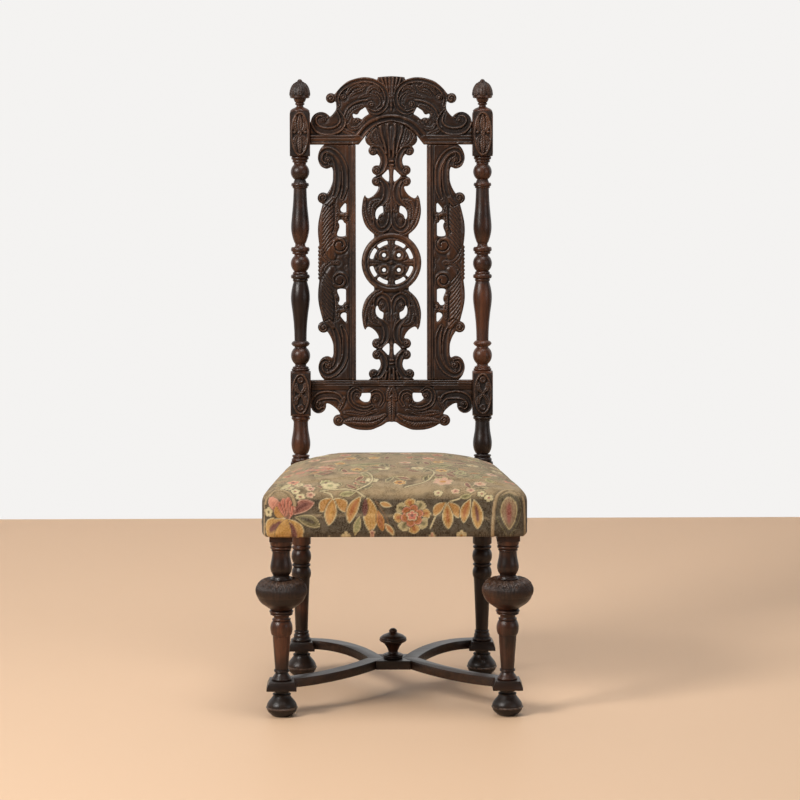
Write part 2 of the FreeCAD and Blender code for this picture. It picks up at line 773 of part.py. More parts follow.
def back_rail():
    width = back_half_span - clearance
    height = size("apron_height")
    thickness = size("board_thickness")
    outline = share_runs(APRON_OUTLINE_SHARES, width, height, 0, back_rail_top)
    half = board_from(outline_face(outline), thickness)
    for shares in (APRON_VOLUTE_SHARES, APRON_BALL_SHARES):
        half = half.fuse(place_disc(shares, width, height, 0, back_rail_top, height, thickness))
    window = share_runs(APRON_WINDOW_SHARES, width, height, 0, back_rail_top)
    half = half.cut(board_from(outline_face(window), thickness + overrun))
    half = half.fuse(back_tenon(rail_tenon_middle, 0))
    half = half.cut(panel_tongues(clearance) + [peg_hole(rail_tenon_middle)])
    return symmetrical(half).cut(splat_tongues(clearance))


def side_panel():
    """The right-hand side panel, symmetrical about its middle."""
    width = size("panel_width")
    height = panel_half_height - clearance
    thickness = size("panel_thickness")
    start = size("panel_inset")
    upper = board_from(
        outline_face(share_runs(PANEL_OUTLINE_SHARES, width, height, start, 0)), thickness
    )
    upper = upper.fuse(place_disc(PANEL_BALL_SHARES, width, height, start, 0, height, thickness))
    tooth_x, tooth_top, tooth_radius = PANEL_TOOTH_SHARES
    for number in range(PANEL_TEETH_PER_HALF):
        level = tooth_top * number / (PANEL_TEETH_PER_HALF - 1)
        tooth = (tooth_x, level, tooth_radius)
        upper = upper.fuse(place_disc(tooth, width, height, start, 0, height, thickness))
    for shares in (PANEL_UPPER_WINDOW_SHARES, PANEL_LOWER_WINDOW_SHARES):
        window = outline_face(share_runs(shares, width, height, start, 0))
        upper = upper.cut(board_from(window, thickness + overrun))
    lower = upper.mirror(Vector(0, 0, 0), Vector(0, 0, 1))
    panel = upper.fuse(lower).removeSplitter()
    panel.translate(Vector(0, 0, panel_middle))
    return panel.fuse(panel_tongues(0)).removeSplitter()


def roundel_light(start):
    """A cutter for one of the eight curved openings in the roundel, from its start angle."""
    radius = size("splat_width") / 2
    depth = size("panel_thickness") + overrun
    turn = Vector(0, 1, 0)
    outer = Part.makeCylinder(
        radius * ROUNDEL_LIGHT_OUTER_SHARE, depth, Vector(0, -depth / 2, 0), turn, ROUNDEL_LIGHT_SWEEP
    )
    inner = disc(radius * ROUNDEL_LIGHT_INNER_SHARE, depth, 0, 0)
    light = outer.cut(inner)
    light.rotate(Vector(0, 0, 0), turn, start)
    return light


def splat():
    half_width = size("splat_width") / 2
    height = panel_half_height - clearance
    thickness = size("panel_thickness")
    quarter = board_from(
        outline_face(share_runs(SPLAT_OUTLINE_SHARES, half_width, height, 0, 0)), thickness
    )
    for shares in SPLAT_BALLS_SHARES:
        quarter = quarter.fuse(place_disc(shares, half_width, height, 0, 0, half_width, thickness))
    for shares in (SPLAT_KITE_SHARES, SPLAT_CRESCENT_SHARES):
        window = outline_face(share_runs(shares, half_width, height, 0, 0))
        quarter = quarter.cut(board_from(window, thickness + overrun))
    upper = symmetrical(quarter)
    lower = upper.mirror(Vector(0, 0, 0), Vector(0, 0, 1))
    below = box(4 * half_width, 2 * thickness, height, 0, 0, -2 * height)
    board = upper.fuse([lower.cut(below), disc(half_width, thickness, 0, 0)]).removeSplitter()
    starts = [
        quadrant * RIGHT_ANGLE + offset
        for quadrant in range(4)
        for offset in (ROUNDEL_LIGHT_START, RIGHT_ANGLE - ROUNDEL_LIGHT_START - ROUNDEL_LIGHT_SWEEP)
    ]
    place_share, hole_share = ROUNDEL_HOLE_SHARES
    holes = [
        disc(hole_share * half_width, thickness + overrun, place_share * half_width * across,
             place_share * half_width * up)
        for across in (-1, 1)
        for up in (-1, 1)
    ]
    board = board.cut([roundel_light(start) for start in starts] + holes)
    board.translate(Vector(0, 0, panel_middle))
    arch = share_runs(CREST_OUTLINE_SHARES, back_half_span - clearance, size("crest_height"), 0,
                      crest_bottom)[1]
    over_arch = Part.makePolygon([
        arch[-1],
        arch[-1] + Vector(0, 0, size("crest_height")),
        arch[0] + Vector(0, 0, size("crest_height")),
        arch[0],
    ])
    curve = Part.BSplineCurve()
    curve.interpolate(arch)
    crest_side = Part.Face(Part.Wire([curve.toShape()] + over_arch.Edges))
    crest_space = symmetrical(board_from(crest_side, 2 * thickness))
    crest_space.translate(Vector(0, 0, -clearance))
    return board.cut(crest_space).fuse(splat_tongues(0))


# Seat frame
TENON_BOTTOM = RAIL_BOTTOM + (cell("rail_height") - cell("rail_tenon_height")) / 2
tenon_bottom = float(TENON_BOTTOM)


def side_rail_middle(y):
    """Where the middle of the right-hand side rail lies at a depth."""
    share = (y + HALF_DEPTH) / cell("leg_depth_spacing")
    return SIDE_FRONT_X + (SIDE_REAR_X - SIDE_FRONT_X) * share


def mortise(width, depth, height, centre_x, centre_y):
    """Space for a seat rail's tenon, with the joint's clearance all round."""
    gap = 2 * clearance
    return box(width + gap, depth + gap, height + gap, centre_x, centre_y, tenon_bottom - clearance)


def cross_mortise(half_span, y):
    """The mortise for the right-hand tenon of the front or rear rail."""
    length = size("rail_tenon_length")
    start = float(half_span)
    return mortise(length + 2 * overrun, size("rail_tenon_thickness"), size("rail_tenon_height"),
                   start + length / 2 - overrun, float(y))


def side_mortise(shoulder_y, direction):
    """The mortise for one tenon of the right-hand side rail."""
    length = size("rail_tenon_length")
    x = float(side_rail_middle(shoulder_y))
    y = float(shoulder_y) + direction * (length / 2 - overrun)
    return mortise(size("rail_tenon_thickness"), length + 2 * overrun, size("rail_tenon_height"), x, y)


def cross_rail(name, half_span, y):
    """Front or rear seat rail, with one long tongue inside it that makes both tenons."""
    span = 2 * half_span
    bar = bound_box(f"{name}_bar", (span - 2 * GAP, cell("rail_thickness"), cell("rail_height")),
                    0, y, RAIL_BOTTOM)
    tongue_sides = (span + 2 * cell("rail_tenon_length"), cell("rail_tenon_thickness"),
                    cell("rail_tenon_height"))
    tongue = bound_box(f"{name}_tongue", tongue_sides, 0, y, TENON_BOTTOM)
    return joined(f"{name}_whole", [bar, tongue])


def side_rail(name, side):
    """A side rail that narrows the seat towards the back, with a tenon at each end."""
    near = FRONT_SHOULDER_Y + GAP
    far = REAR_SHOULDER_Y - GAP
    corners = [
        (side * (side_rail_middle(near) - HALF_RAIL), near),
        (side * (side_rail_middle(near) + HALF_RAIL), near),
        (side * (side_rail_middle(far) + HALF_RAIL), far),
        (side * (side_rail_middle(far) - HALF_RAIL), far),
    ]
    parts = [bound_prism(f"{name}_bar", corners, RAIL_BOTTOM, cell("rail_height"))]
    length = 2 * cell("rail_tenon_length")
    for end, shoulder in (("front", FRONT_SHOULDER_Y), ("rear", REAR_SHOULDER_Y)):
        sides = (cell("rail_tenon_thickness"), length, cell("rail_tenon_height"))
        x = side * side_rail_middle(shoulder)
        parts.append(bound_box(f"{name}_{end}_tenon", sides, x, shoulder, TENON_BOTTOM))
    return joined(f"{name}_whole", parts)


def corner_block_plan(front, side):
    """Corners of a corner block that fits round the leg or post in its corner."""
    if front:
        leg_x = FRONT_X - FRONT_BLOCK_HALF - GAP
        leg_y = FRONT_SHOULDER_Y + GAP
        rail_y = FRONT_RAIL_Y + HALF_RAIL + GAP
        far_y = leg_y + cell("block_reach")
    else:
        leg_x = REAR_X - POST_HALF - GAP
        leg_y = REAR_SHOULDER_Y - GAP
        rail_y = REAR_RAIL_Y - HALF_RAIL - GAP
        far_y = leg_y - cell("block_reach")
    return [
        (side * leg_x, rail_y),
        (side * (leg_x - cell("block_reach")), rail_y),
        (side * (side_rail_middle(far_y) - HALF_RAIL - GAP), far_y),
        (side * (side_rail_middle(leg_y) - HALF_RAIL - GAP), leg_y),
        (side * leg_x, leg_y),
    ]


BLOCK_BOTTOM = RAIL_BOTTOM + (cell("rail_height") - cell("block_height")) / 2
SCREW_PLACE_SHARE = 0.42


def screw(start, direction, gap):
    """A countersunk wood screw, or with a gap the hole for it."""
    head_height = size("screw_head_radius") - size("screw_radius")
    shank = rod(size("screw_radius") + gap, size("screw_length") + gap, start, direction)
    head = Part.makeCone(
        size("screw_head_radius") + gap, size("screw_radius") + gap, head_height, start, direction
    )
    return shank.fuse(head)


def corner_screws(front, gap):
    """The two screws of a right-hand corner block: one into each rail."""
    plan = [(float(x), float(y)) for x, y in corner_block_plan(front, 1)]
    (leg_x, rail_y), (tip_x, _), (far_x, far_y), (_, leg_y), _ = plan
    inward = 1 if front else -1
    level = float(BLOCK_BOTTOM + cell("block_height") / 2)
    step = size("block_reach") * SCREW_PLACE_SHARE
    slope = (far_y - rail_y) / (far_x - tip_x)
    x = leg_x - step
    y = rail_y + slope * (x - tip_x)
    into_cross = screw(Vector(x, y, level), Vector(0, -inward, 0), gap)
    y = leg_y + inward * step
    x = tip_x + (y - rail_y) / slope
    into_side = screw(Vector(x, y, level), Vector(1, 0, 0), gap)
    return [into_cross, into_side]


# Seat straps and tacks. A strap is given by its place as a share of the seat's inner half
STRAP_PLACE_SHARES = (-0.66, -0.22, 0.22, 0.66)
LONG_START = FRONT_RAIL_Y + HALF_RAIL - cell("webbing_overlap")
LONG_END = REAR_RAIL_Y - HALF_RAIL + cell("webbing_overlap")


def cross_strap(share):
    """Depth and half length of a strap from side rail to side rail, as measures."""
    y = share * (HALF_DEPTH - FRONT_BLOCK_HALF)
    return y, side_rail_middle(y) - HALF_RAIL + cell("webbing_overlap")


def long_strap(share):
    """Place across the seat of a strap from front rail to rear rail."""
    return share * (REAR_X - POST_HALF)


def webbing(holes):
    """Four straps across and four from front to back, each its own box."""
    straps = []
    for number, share in enumerate(STRAP_PLACE_SHARES, start=1):
        y, reach = cross_strap(share)
        sides = (2 * reach, cell("webbing_width"), cell("webbing_thickness"))
        strap = bound_box(f"cross_strap_{number}", sides, 0, y, STRAP_LEVEL)
        straps.append(drilled(f"cross_strap_{number}_tacked", strap, holes))
        sides = (cell("webbing_width"), LONG_END - LONG_START, cell("webbing_thickness"))
        middle = (LONG_START + LONG_END) / 2
        strap = bound_box(f"long_strap_{number}", sides, long_strap(share), middle, LONG_LEVEL)
        straps.append(drilled(f"long_strap_{number}_tacked", strap, holes))
    return straps


TACK_EDGE_SHARE = 0.5
TACK_SPREAD_SHARE = 0.3


def tack(x, y, head_level, gap, upward=False):
    """A tack with its head above the level, or below it when driven upward."""
    direction = Vector(0, 0, 1 if upward else -1)
    start = Vector(x, y, head_level)
    shank = rod(size("tack_radius") + gap, size("tack_length") + gap, start, direction)
    if gap:
        return shank
    head = rod(size("tack_head_radius"), size("tack_head_thickness"), start, direction.negative())
    return shank.fuse(head)


def webbing_tacks(gap):
    """Two tacks at each end of each strap."""
    edge = size("webbing_overlap") * TACK_EDGE_SHARE
    spread = size("webbing_width") * TACK_SPREAD_SHARE
    cross_top = float(STRAP_LEVEL + cell("webbing_thickness"))
    long_top = float(LONG_LEVEL + cell("webbing_thickness"))
    tacks = []
    for share in STRAP_PLACE_SHARES:
        y, reach = [float(measure) for measure in cross_strap(share)]
        x = float(long_strap(share))
        for across in (-spread, spread):
            for side in (-1, 1):
                tacks.append(tack(side * (reach - edge), y + across, cross_top, gap))
            for end in (float(LONG_START) + edge, float(LONG_END) - edge):
                tacks.append(tack(x + across, end, long_top, gap))
    return tacks


# Seat form: the same rounded wedge, set in by any amount, makes cover and stuffing
def seat_plan(inset):
    """Corners of the seat in plan."""
    front_half = front_x + front_block_half + size("padding") - inset
    rear_half = rear_x + post_half + size("rear_padding") - inset
    near = -half_depth - front_block_half - size("padding") + inset
    far = half_depth + post_half + size("rear_padding") - inset
    return [(-front_half, near), (front_half, near), (rear_half, far), (-rear_half, far)]


# The dome is as round as its rise from the front corners to the crown asks
seat_top = rail_top + size("crown_height")
crown_rise = size("crown_height") - size("rim_height")
corner_reach = math.hypot(*seat_plan(0)[0])
crown_radius = (corner_reach**2 + crown_rise**2) / (2 * crown_rise)
UPRIGHT_SHARE = 0.5


def prism(corners, bottom, height):
    """A flat polygon in plan raised to a height."""
    points = [Vector(x, y, bottom) for x, y in corners]
    return Part.Face(Part.makePolygon(points + points[:1])).extrude(Vector(0, 0, height))


def seat_form(inset, bottom):
    """The domed seat from a bottom height up, set in on every side by the inset."""
    blank = prism(seat_plan(inset), bottom, seat_top - bottom)
    uprights = [
        edge for edge in blank.Edges
        if abs(edge.tangentAt(edge.FirstParameter).z) > UPRIGHT_SHARE and edge.CenterOfMass.y < 0
    ]
    blank = blank.makeFillet(size("seat_corner_radius") - inset, uprights)
    crown_centre = Vector(0, 0, seat_top - crown_radius)
    dome = blank.common(Part.makeSphere(crown_radius - inset, crown_centre))
    top = [face for face in dome.Faces if isinstance(face.Surface, Part.Sphere)][0]
    rims = [edge for edge in top.Edges if not edge.Degenerated and not edge.isSeam(top)]
    return dome.makeFillet(size("seat_edge_radius") - inset, rims)


def post_corner(gap):
    """Space kept clear for the right-hand rear post at the back corner of the seat."""
    width = size("post_block_width") + 2 * gap + size("leg_depth_spacing")
    spot = rear_x - post_half - gap + width / 2
    depth = half_depth - post_half - gap + width / 2
    return box(width, width, 2 * seat_top, spot, depth, 0)


def frame_space(gap):
    """The prism that the seat frame, straps and base cloth fill, grown by a gap."""
    front_half = front_x + front_block_half + gap
    rear_half = rear_x + post_half + gap
    near = -half_depth - front_block_half - gap
    far = half_depth + post_half + gap
    right = [
        (front_half, near), (front_half, -half_depth), (rear_half, half_depth), (rear_half, far)
    ]
    left = [(-x, y) for x, y in reversed(right)]
    top = float(HESSIAN_LEVEL + cell("hessian_thickness")) + gap
    return prism(right + left, 0, top)


cover_bottom = rail_bottom - clearance - size("cover_thickness")


def leg_space(gap):
    """Space for the right-hand front leg's block through the cover's hem."""
    width = size("front_block_width") + 2 * gap
    return box(width, width, size("bend_height"), front_x, -half_depth, 0)


def seat_cover():
    thick = size("cover_thickness")
    shell = seat_form(0, cover_bottom).cut(seat_form(thick, cover_bottom + thick))
    inner = seat_plan(size("padding") + size("cover_hem"))
    shell = shell.cut(prism(inner, 0, rail_bottom))
    spaces = [post_corner(cloth_gap), leg_space(cloth_gap)]
    shell = shell.cut(spaces + [mirrored(space) for space in spaces])
    return shell.cut(cover_tacks(clearance))


def seat_stuffing():
    thick = size("cover_thickness") + cloth_gap
    bottom = cover_bottom + size("cover_thickness") + cloth_gap
    form = seat_form(thick, bottom)
    spaces = [post_corner(cloth_gap), leg_space(cloth_gap)]
    spaces += [mirrored(space) for space in spaces]
    return form.cut(spaces + [frame_space(cloth_gap)])


HESSIAN_MARGIN_SHARE = 0.25


def hessian():
    """Base cloth over the straps, notched round the posts, its edge just inside the rails' faces."""
    margin = HESSIAN_MARGIN_SHARE * cell("webbing_overlap")
    near = FRONT_RAIL_Y - HALF_RAIL + margin
    far = REAR_RAIL_Y + HALF_RAIL - margin
    notch_x = REAR_X - POST_HALF - cell("cloth_clearance")
    notch_y = REAR_SHOULDER_Y - cell("cloth_clearance")
    front_half = side_rail_middle(near) + HALF_RAIL - margin
    rear_half = side_rail_middle(notch_y) + HALF_RAIL - margin
    right = [(front_half, near), (rear_half, notch_y), (notch_x, notch_y), (notch_x, far)]
    left = [(-x, y) for x, y in reversed(right)]
    return bound_prism("hessian_cloth", right + left, HESSIAN_LEVEL, cell("hessian_thickness"))


COVER_TACK_COUNT = 9


def cover_tacks(gap):
    """Tacks up through the hem into the middle of each rail."""
    tacks = []
    cross_half = rear_x - post_half - size("cover_hem")
    for index in range(COVER_TACK_COUNT):
        share = 2 * index / (COVER_TACK_COUNT - 1) - 1
        for y in (FRONT_RAIL_Y, REAR_RAIL_Y + cell("rear_padding")):
            tacks.append(tack(share * cross_half, float(y), cover_bottom, gap, upward=True))
        y = share * (half_depth - size("front_block_width"))
        for side in (-1, 1):
            x = side * float(side_rail_middle(y))
            tacks.append(tack(x, y, cover_bottom, gap, upward=True))
    return tacks


# Stretcher: the two diagonals between the legs cross here
HUB_Y = HALF_DEPTH * (FRONT_X - REAR_X) / (FRONT_X + REAR_X)
hub_y = float(HUB_Y)
arm_end_x = (size("hub_front_width") + size("stretcher_width")) / 2
FRONT_ARM_SHARES = [(0, 0.075), (0.40, 0.172), (0.82, 0.665), (1, 1)]
REAR_ARM_SHARES = [(0, -0.055), (0.47, -0.146), (0.82, 0.40), (1, 1)]


def arm_path(leg_x, leg_y, shares):
    """Middle line of a right-hand stretcher arm from its leg to the hub."""
    poles = [
        Vector(leg_x + u * (arm_end_x - leg_x), leg_y + v * (hub_y - leg_y), size("foot_height"))
        for u, v in shares
    ]
    curve = Part.BezierCurve()
    curve.setPoles(poles)
    return curve


def arm_bar(leg_x, leg_y, shares):
    """The curved bar of a right-hand arm, cut off square across the chair at the hub's middle."""
    curve = arm_path(leg_x, leg_y, shares)
    half = size("stretcher_width") / 2
    start = curve.value(0)
    along = curve.tangent(0)[0]
    across = Vector(-along.y, along.x, 0) * half
    up = Vector(0, 0, size("stretcher_thickness"))
    corners = [start + across, start - across, start - across + up, start + across + up]
    section = Part.makePolygon(corners + corners[:1])
    last = curve.value(1)
    end_line = Part.makeLine(last, last + curve.tangent(1)[0] * half * 2)
    spine = Part.Wire([curve.toShape(), end_line])
    bar = spine.makePipeShell([section], True, False)
    reach = size("leg_depth_spacing")
    side = math.copysign(1, hub_y - leg_y)
    beyond = box(2 * reach, reach, reach, 0, hub_y + side * reach / 2, 0)
    return bar.cut(beyond)


def end_pad(width, x, y):
    """The square end block of an arm, upright at its foot and sloped in above."""
    lower = box(width, width, size("pad_edge"), x, y, size("foot_height"))
    foot, head = size("foot_height") + size("pad_edge"), stretcher_top
    half, top_half = width / 2, width / 2 - size("pad_slope")
    upper = Part.makeWedge(-half, foot, -half, -top_half, -top_half, half, head, half, top_half, top_half)
    upper.rotate(Vector(0, 0, 0), Vector(1, 0, 0), RIGHT_ANGLE)
    upper.translate(Vector(x, y, 0))
    return lower.fuse(upper)


def foot_dowel(x, y, gap):
    """The dowel above a foot, or with a gap the hole for it through arm and leg."""
    length = size("stretcher_thickness") + size("foot_dowel_grip") + gap
    start = Vector(x, y, size("foot_height") - (overrun if gap else 0))
    return rod(size("foot_dowel_radius") + gap, length + (overrun if gap else 0), start,
               Vector(0, 0, 1))


HUB_DOWEL_SHARE = 0.26
HUB_DOWEL_LENGTH = cell("hub_front_width") + cell("stretcher_width")
HUB_DOWEL_LEVEL = cell("foot_height") + cell("stretcher_thickness") / 2


def hub_dowel_holes():
    """Holes for the two dowels across the hub, one each side of the knob."""
    length = float(HUB_DOWEL_LENGTH) + 2 * clearance
    step = size("hub_length") * HUB_DOWEL_SHARE
    return [
        rod(size("hub_dowel_radius") + clearance, length,
            Vector(-length / 2, hub_y + side * step, float(HUB_DOWEL_LEVEL)), Vector(1, 0, 0))
        for side in (-1, 1)
    ]


def bound_hub_dowels():
    """The two dowels across the hub into the arms."""
    turn = Rotation(Vector(0, 1, 0), 90)
    return [
        bound_rod(f"hub_dowel_{name}", cell("hub_dowel_radius"), HUB_DOWEL_LENGTH,
                  (-HUB_DOWEL_LENGTH / 2, HUB_Y + step, HUB_DOWEL_LEVEL), turn)
        for name, step in (("front", -HUB_DOWEL_SHARE * cell("hub_length")),
                           ("rear", HUB_DOWEL_SHARE * cell("hub_length")))
    ]


def stretcher_arm(leg_x, leg_y, pad_width, shares):
    """A right-hand arm with its end block."""
    bar = arm_bar(leg_x, leg_y, shares)
    arm = bar.fuse(end_pad(pad_width, leg_x, leg_y)).removeSplitter()
    return arm.cut([foot_dowel(leg_x, leg_y, clearance)] + hub_dowel_holes())


front_arm = stretcher_arm(front_x, -half_depth, size("front_pad_width"), FRONT_ARM_SHARES)
rear_arm = stretcher_arm(rear_x, half_depth, size("rear_pad_width"), REAR_ARM_SHARES)


FINIAL_DOWEL_SHARE = 0.22
FINIAL_DOWEL_DEPTH_SHARE = 0.75


def finial_dowel(gap):
    """The dowel under the stretcher's knob, or with a gap the hole for it."""
    radius = size("stretcher_finial_radius") * FINIAL_DOWEL_SHARE + gap
    length = size("stretcher_thickness") * FINIAL_DOWEL_DEPTH_SHARE + gap
    return rod(radius, length, Vector(0, hub_y, stretcher_top), Vector(0, 0, -1))


def stretcher_hub():
    """The block between the arms, shaped to their inner edges."""
    thick = size("stretcher_thickness")
    blank = box(2 * arm_end_x, size("hub_length"), thick, 0, hub_y, size("foot_height"))
    tools = []
    for x, y, shares in (
        (front_x, -half_depth, FRONT_ARM_SHARES), (rear_x, half_depth, REAR_ARM_SHARES)
    ):
        bar = arm_bar(x, y, shares)
        near = bar.copy()
        near.translate(Vector(-clearance, 0, 0))
        tools += [bar, near, mirrored(bar), mirrored(near)]
    blank = blank.cut(tools)
    solids = sorted(blank.Solids, key=lambda solid: solid.Volume)
    return solids[-1].cut(hub_dowel_holes() + [finial_dowel(clearance)])


# Legs, posts and feet, right hand
def front_leg():
    height = size("front_turning_height")
    shaft = height * SHAFT_SHARE
    cup = height * CUP_SHARE
    mouldings = scaled_mouldings(FRONT_SHAFT_SHARES, shaft, front_block_half)
    mouldings += scaled_mouldings(FRONT_CUP_SHARES, cup, size("front_cup_radius"))
    mouldings += scaled_mouldings(FRONT_NECK_SHARES, height - shaft - cup, front_block_half)
    leg = turned(mouldings, stretcher_top)
    block = box(size("front_block_width"), size("front_block_width"), rail_top - front_block_bottom,
                0, 0, front_block_bottom)
    leg = leg.fuse(block)
    leg.translate(Vector(front_x, -half_depth, 0))
    return leg.cut([
        cross_mortise(FRONT_X - FRONT_BLOCK_HALF, FRONT_RAIL_Y),
        side_mortise(FRONT_SHOULDER_Y, -1),
        foot_dowel(front_x, -half_depth, clearance),
    ])


def post_finial_dowel(gap):
    """The dowel under an acorn, or with a gap the hole for it."""
    length = size("post_finial_dowel_length") + gap
    return rod(size("post_finial_dowel_radius") + gap, length, Vector(0, 0, post_top),
               Vector(0, 0, -1))


def rear_post():
    """Leg and post in one, built in the raked frame with the axis of the post as Z."""
    width = size("post_block_width")
    sink = post_half * math.tan(rake)
    parts = [
        box(width, width, size("seat_block_rise") + sink, 0, 0, -sink),
        turning(SEAT_TURNING_SHARES, size("seat_turning_height"), post_half, size("seat_block_rise")),
        carved_block(width, lower_block_start, size("lower_block_height")),
        turning(UPPER_TURNING_SHARES, size("upper_turning_height"), post_half, upper_turning_start),
        carved_block(width, upper_block_start, size("upper_block_height")),
    ]
    leg = turning(REAR_LEG_SHARES, size("rear_turning_height"), post_half, stretcher_top)
    block = box(width, width, size("bend_height") - rear_block_bottom, 0, 0, rear_block_bottom)
    lower = leg.fuse(block)
    lower.translate(Vector(rear_x, half_depth, 0))
    lower = lower.cut([
        cross_mortise(REAR_X - POST_HALF, REAR_RAIL_Y),
        side_mortise(REAR_SHOULDER_Y, 1),
        foot_dowel(rear_x, half_depth, clearance),
    ])
    lower.translate(Vector(0, -half_depth, -size("bend_height")))
    lower.rotate(Vector(0, 0, 0), Vector(1, 0, 0), size("back_rake"))
    upper = parts[0].fuse(parts[1:])
    upper = upper.cut(post_finial_dowel(clearance))
    upper.translate(Vector(rear_x, 0, 0))
    post = upper.fuse(lower)
    return post.cut([
        back_tenon(crest_tenon_middle, clearance),
        back_tenon(rail_tenon_middle, clearance),
        peg_hole(crest_tenon_middle),
        peg_hole(rail_tenon_middle),
    ])


def foot(x, y):
    """A bun foot with its dowel."""
    bun = turning(FOOT_SHARES, size("foot_height"), size("foot_radius"), 0)
    bun.translate(Vector(x, y, 0))
    return bun.fuse(foot_dowel(x, y, 0))


def post_finial():
    acorn = turning(POST_FINIAL_SHARES, size("post_finial_height"), size("post_finial_radius"), post_top)
    acorn = acorn.fuse(post_finial_dowel(0))
    acorn.translate(Vector(rear_x, 0, 0))
    return acorn


def stretcher_finial():
    knob = turning(STRETCHER_FINIAL_SHARES, size("stretcher_finial_height"),
                   size("stretcher_finial_radius"), stretcher_top)
    knob.translate(Vector(0, hub_y, 0))
    return knob.fuse(finial_dowel(0))


# All pieces, each in its own frame
def both_sides(shapes):
    """Right-hand shapes and their mirror images."""
    return list(shapes) + [mirrored(shape) for shape in shapes]


screws = corner_screws(True, 0) + corner_screws(False, 0)
screw_holes = corner_screws(True, clearance) + corner_screws(False, clearance)
frame_holes = cutting_tool(
    "frame_holes", both_sides(screw_holes) + webbing_tacks(clearance) + cover_tacks(clearance)
)
strap_holes = cutting_tool("strap_holes", webbing_tacks(clearance))

for side_name, side in SIDES:
    add_piece(f"rear_post_{side_name}", for_side(rear_post(), side), bend)
    add_piece(f"post_finial_{side_name}", for_side(post_finial(), side), bend)
    add_piece(f"side_panel_{side_name}", for_side(side_panel(), side), bend)
    add_piece(f"front_leg_{side_name}", for_side(front_leg(), side), ground)
    add_piece(f"front_foot_{side_name}", for_side(foot(front_x, -half_depth), side), ground)
    add_piece(f"rear_foot_{side_name}", for_side(foot(rear_x, half_depth), side), ground)
    add_piece(f"stretcher_front_{side_name}", for_side(front_arm, side), ground)
    add_piece(f"stretcher_rear_{side_name}", for_side(rear_arm, side), ground)
    name = f"seat_rail_{side_name}"
    keep_piece(name, drilled(f"{name}_drilled", side_rail(name, side), frame_holes), ground)
    for end_name, front in (("front", True), ("rear", False)):
        name = f"corner_block_{end_name}_{side_name}"
        block = bound_prism(f"{name}_wood", corner_block_plan(front, side), BLOCK_BOTTOM,
                            cell("block_height"))
        keep_piece(name, drilled(f"{name}_drilled", block, frame_holes), ground)

for name, half_span, y in (
    ("seat_rail_front", FRONT_X - FRONT_BLOCK_HALF, FRONT_RAIL_Y),
    ("seat_rail_rear", REAR_X - POST_HALF, REAR_RAIL_Y),
):
    keep_piece(name, drilled(f"{name}_drilled", cross_rail(name, half_span, y), frame_holes), ground)

keep_piece("seat_webbing", grouped("straps", webbing(strap_holes)), ground)
keep_piece("hessian", hessian(), ground)
keep_piece("joint_pegs", grouped("pegs", bound_pegs()), bend)
keep_piece("hub_dowels", grouped("dowels", bound_hub_dowels()), ground)
add_piece("crest_rail", crest_rail(), bend)
add_piece("back_rail", back_rail(), bend)
add_piece("splat", splat(), bend)
add_piece("corner_screws", Part.makeCompound(both_sides(screws)), ground)
add_piece("webbing_tacks", Part.makeCompound(webbing_tacks(0)), ground)
add_piece("cover_tacks", Part.makeCompound(cover_tacks(0)), ground)
add_piece("seat_stuffing", seat_stuffing(), ground)
add_piece("seat_cover", seat_cover(), ground)
add_piece("stretcher_hub", stretcher_hub(), ground)
add_piece("stretcher_finial", stretcher_finial(), ground)

doc.recompute()

# Every object must have worked before anything is written
for item in doc.Objects:
    if any(word in item.State for word in ("Invalid", "Error")):
        raise RuntimeError(f"{item.Label} failed: {item.State}")
for piece in pieces:
    if piece.Shape.isNull() or not piece.Shape.isValid():
        raise RuntimeError(f"{piece.Label} has no valid shape")
    print(f"{piece.Label}: {len(piece.Shape.Solids)} solids, {piece.Shape.Volume:.0f} mm3")

os.makedirs("parts", exist_ok=True)
for piece in pieces:
    piece.Shape.exportStep(f"parts/{piece.Label}.step")
print(f"{len(pieces)} pieces written")
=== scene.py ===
# %% [markdown]
# # A carved high-back chair
# The chair is dark walnut: turned posts and legs, a pierced and carved back, and a domed seat in flowered
# tapestry. Its sizes are fixed already, in a model made for building it. Here that model is loaded as it is
# and dressed. Turned pieces keep their built shape and get a finish. Boards whose carving was only cut out
# in outline are replaced with carved ones, and the seat with a stuffed one.

import math

import bmesh
import bpy
import numpy as np
from mathutils import Matrix, Vector, kdtree, noise


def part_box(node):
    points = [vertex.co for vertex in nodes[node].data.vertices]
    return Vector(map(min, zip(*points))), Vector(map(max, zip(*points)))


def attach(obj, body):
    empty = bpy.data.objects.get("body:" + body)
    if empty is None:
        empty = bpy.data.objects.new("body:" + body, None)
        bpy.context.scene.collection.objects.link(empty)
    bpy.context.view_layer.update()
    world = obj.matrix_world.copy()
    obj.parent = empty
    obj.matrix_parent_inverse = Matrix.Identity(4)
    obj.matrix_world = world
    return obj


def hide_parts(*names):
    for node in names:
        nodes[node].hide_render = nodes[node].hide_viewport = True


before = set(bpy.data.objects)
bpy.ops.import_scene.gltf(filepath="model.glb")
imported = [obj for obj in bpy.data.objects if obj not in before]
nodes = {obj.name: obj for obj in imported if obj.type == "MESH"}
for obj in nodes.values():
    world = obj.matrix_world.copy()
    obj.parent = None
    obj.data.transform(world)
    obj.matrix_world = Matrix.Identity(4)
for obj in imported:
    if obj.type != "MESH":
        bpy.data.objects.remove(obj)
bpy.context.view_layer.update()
MM = 0.001

# %% [markdown]
# ## Camera
# The photograph was taken from straight ahead, a little above the crest, through a long lens from about
# seven metres. A long lens keeps the front and rear legs nearly the same size.

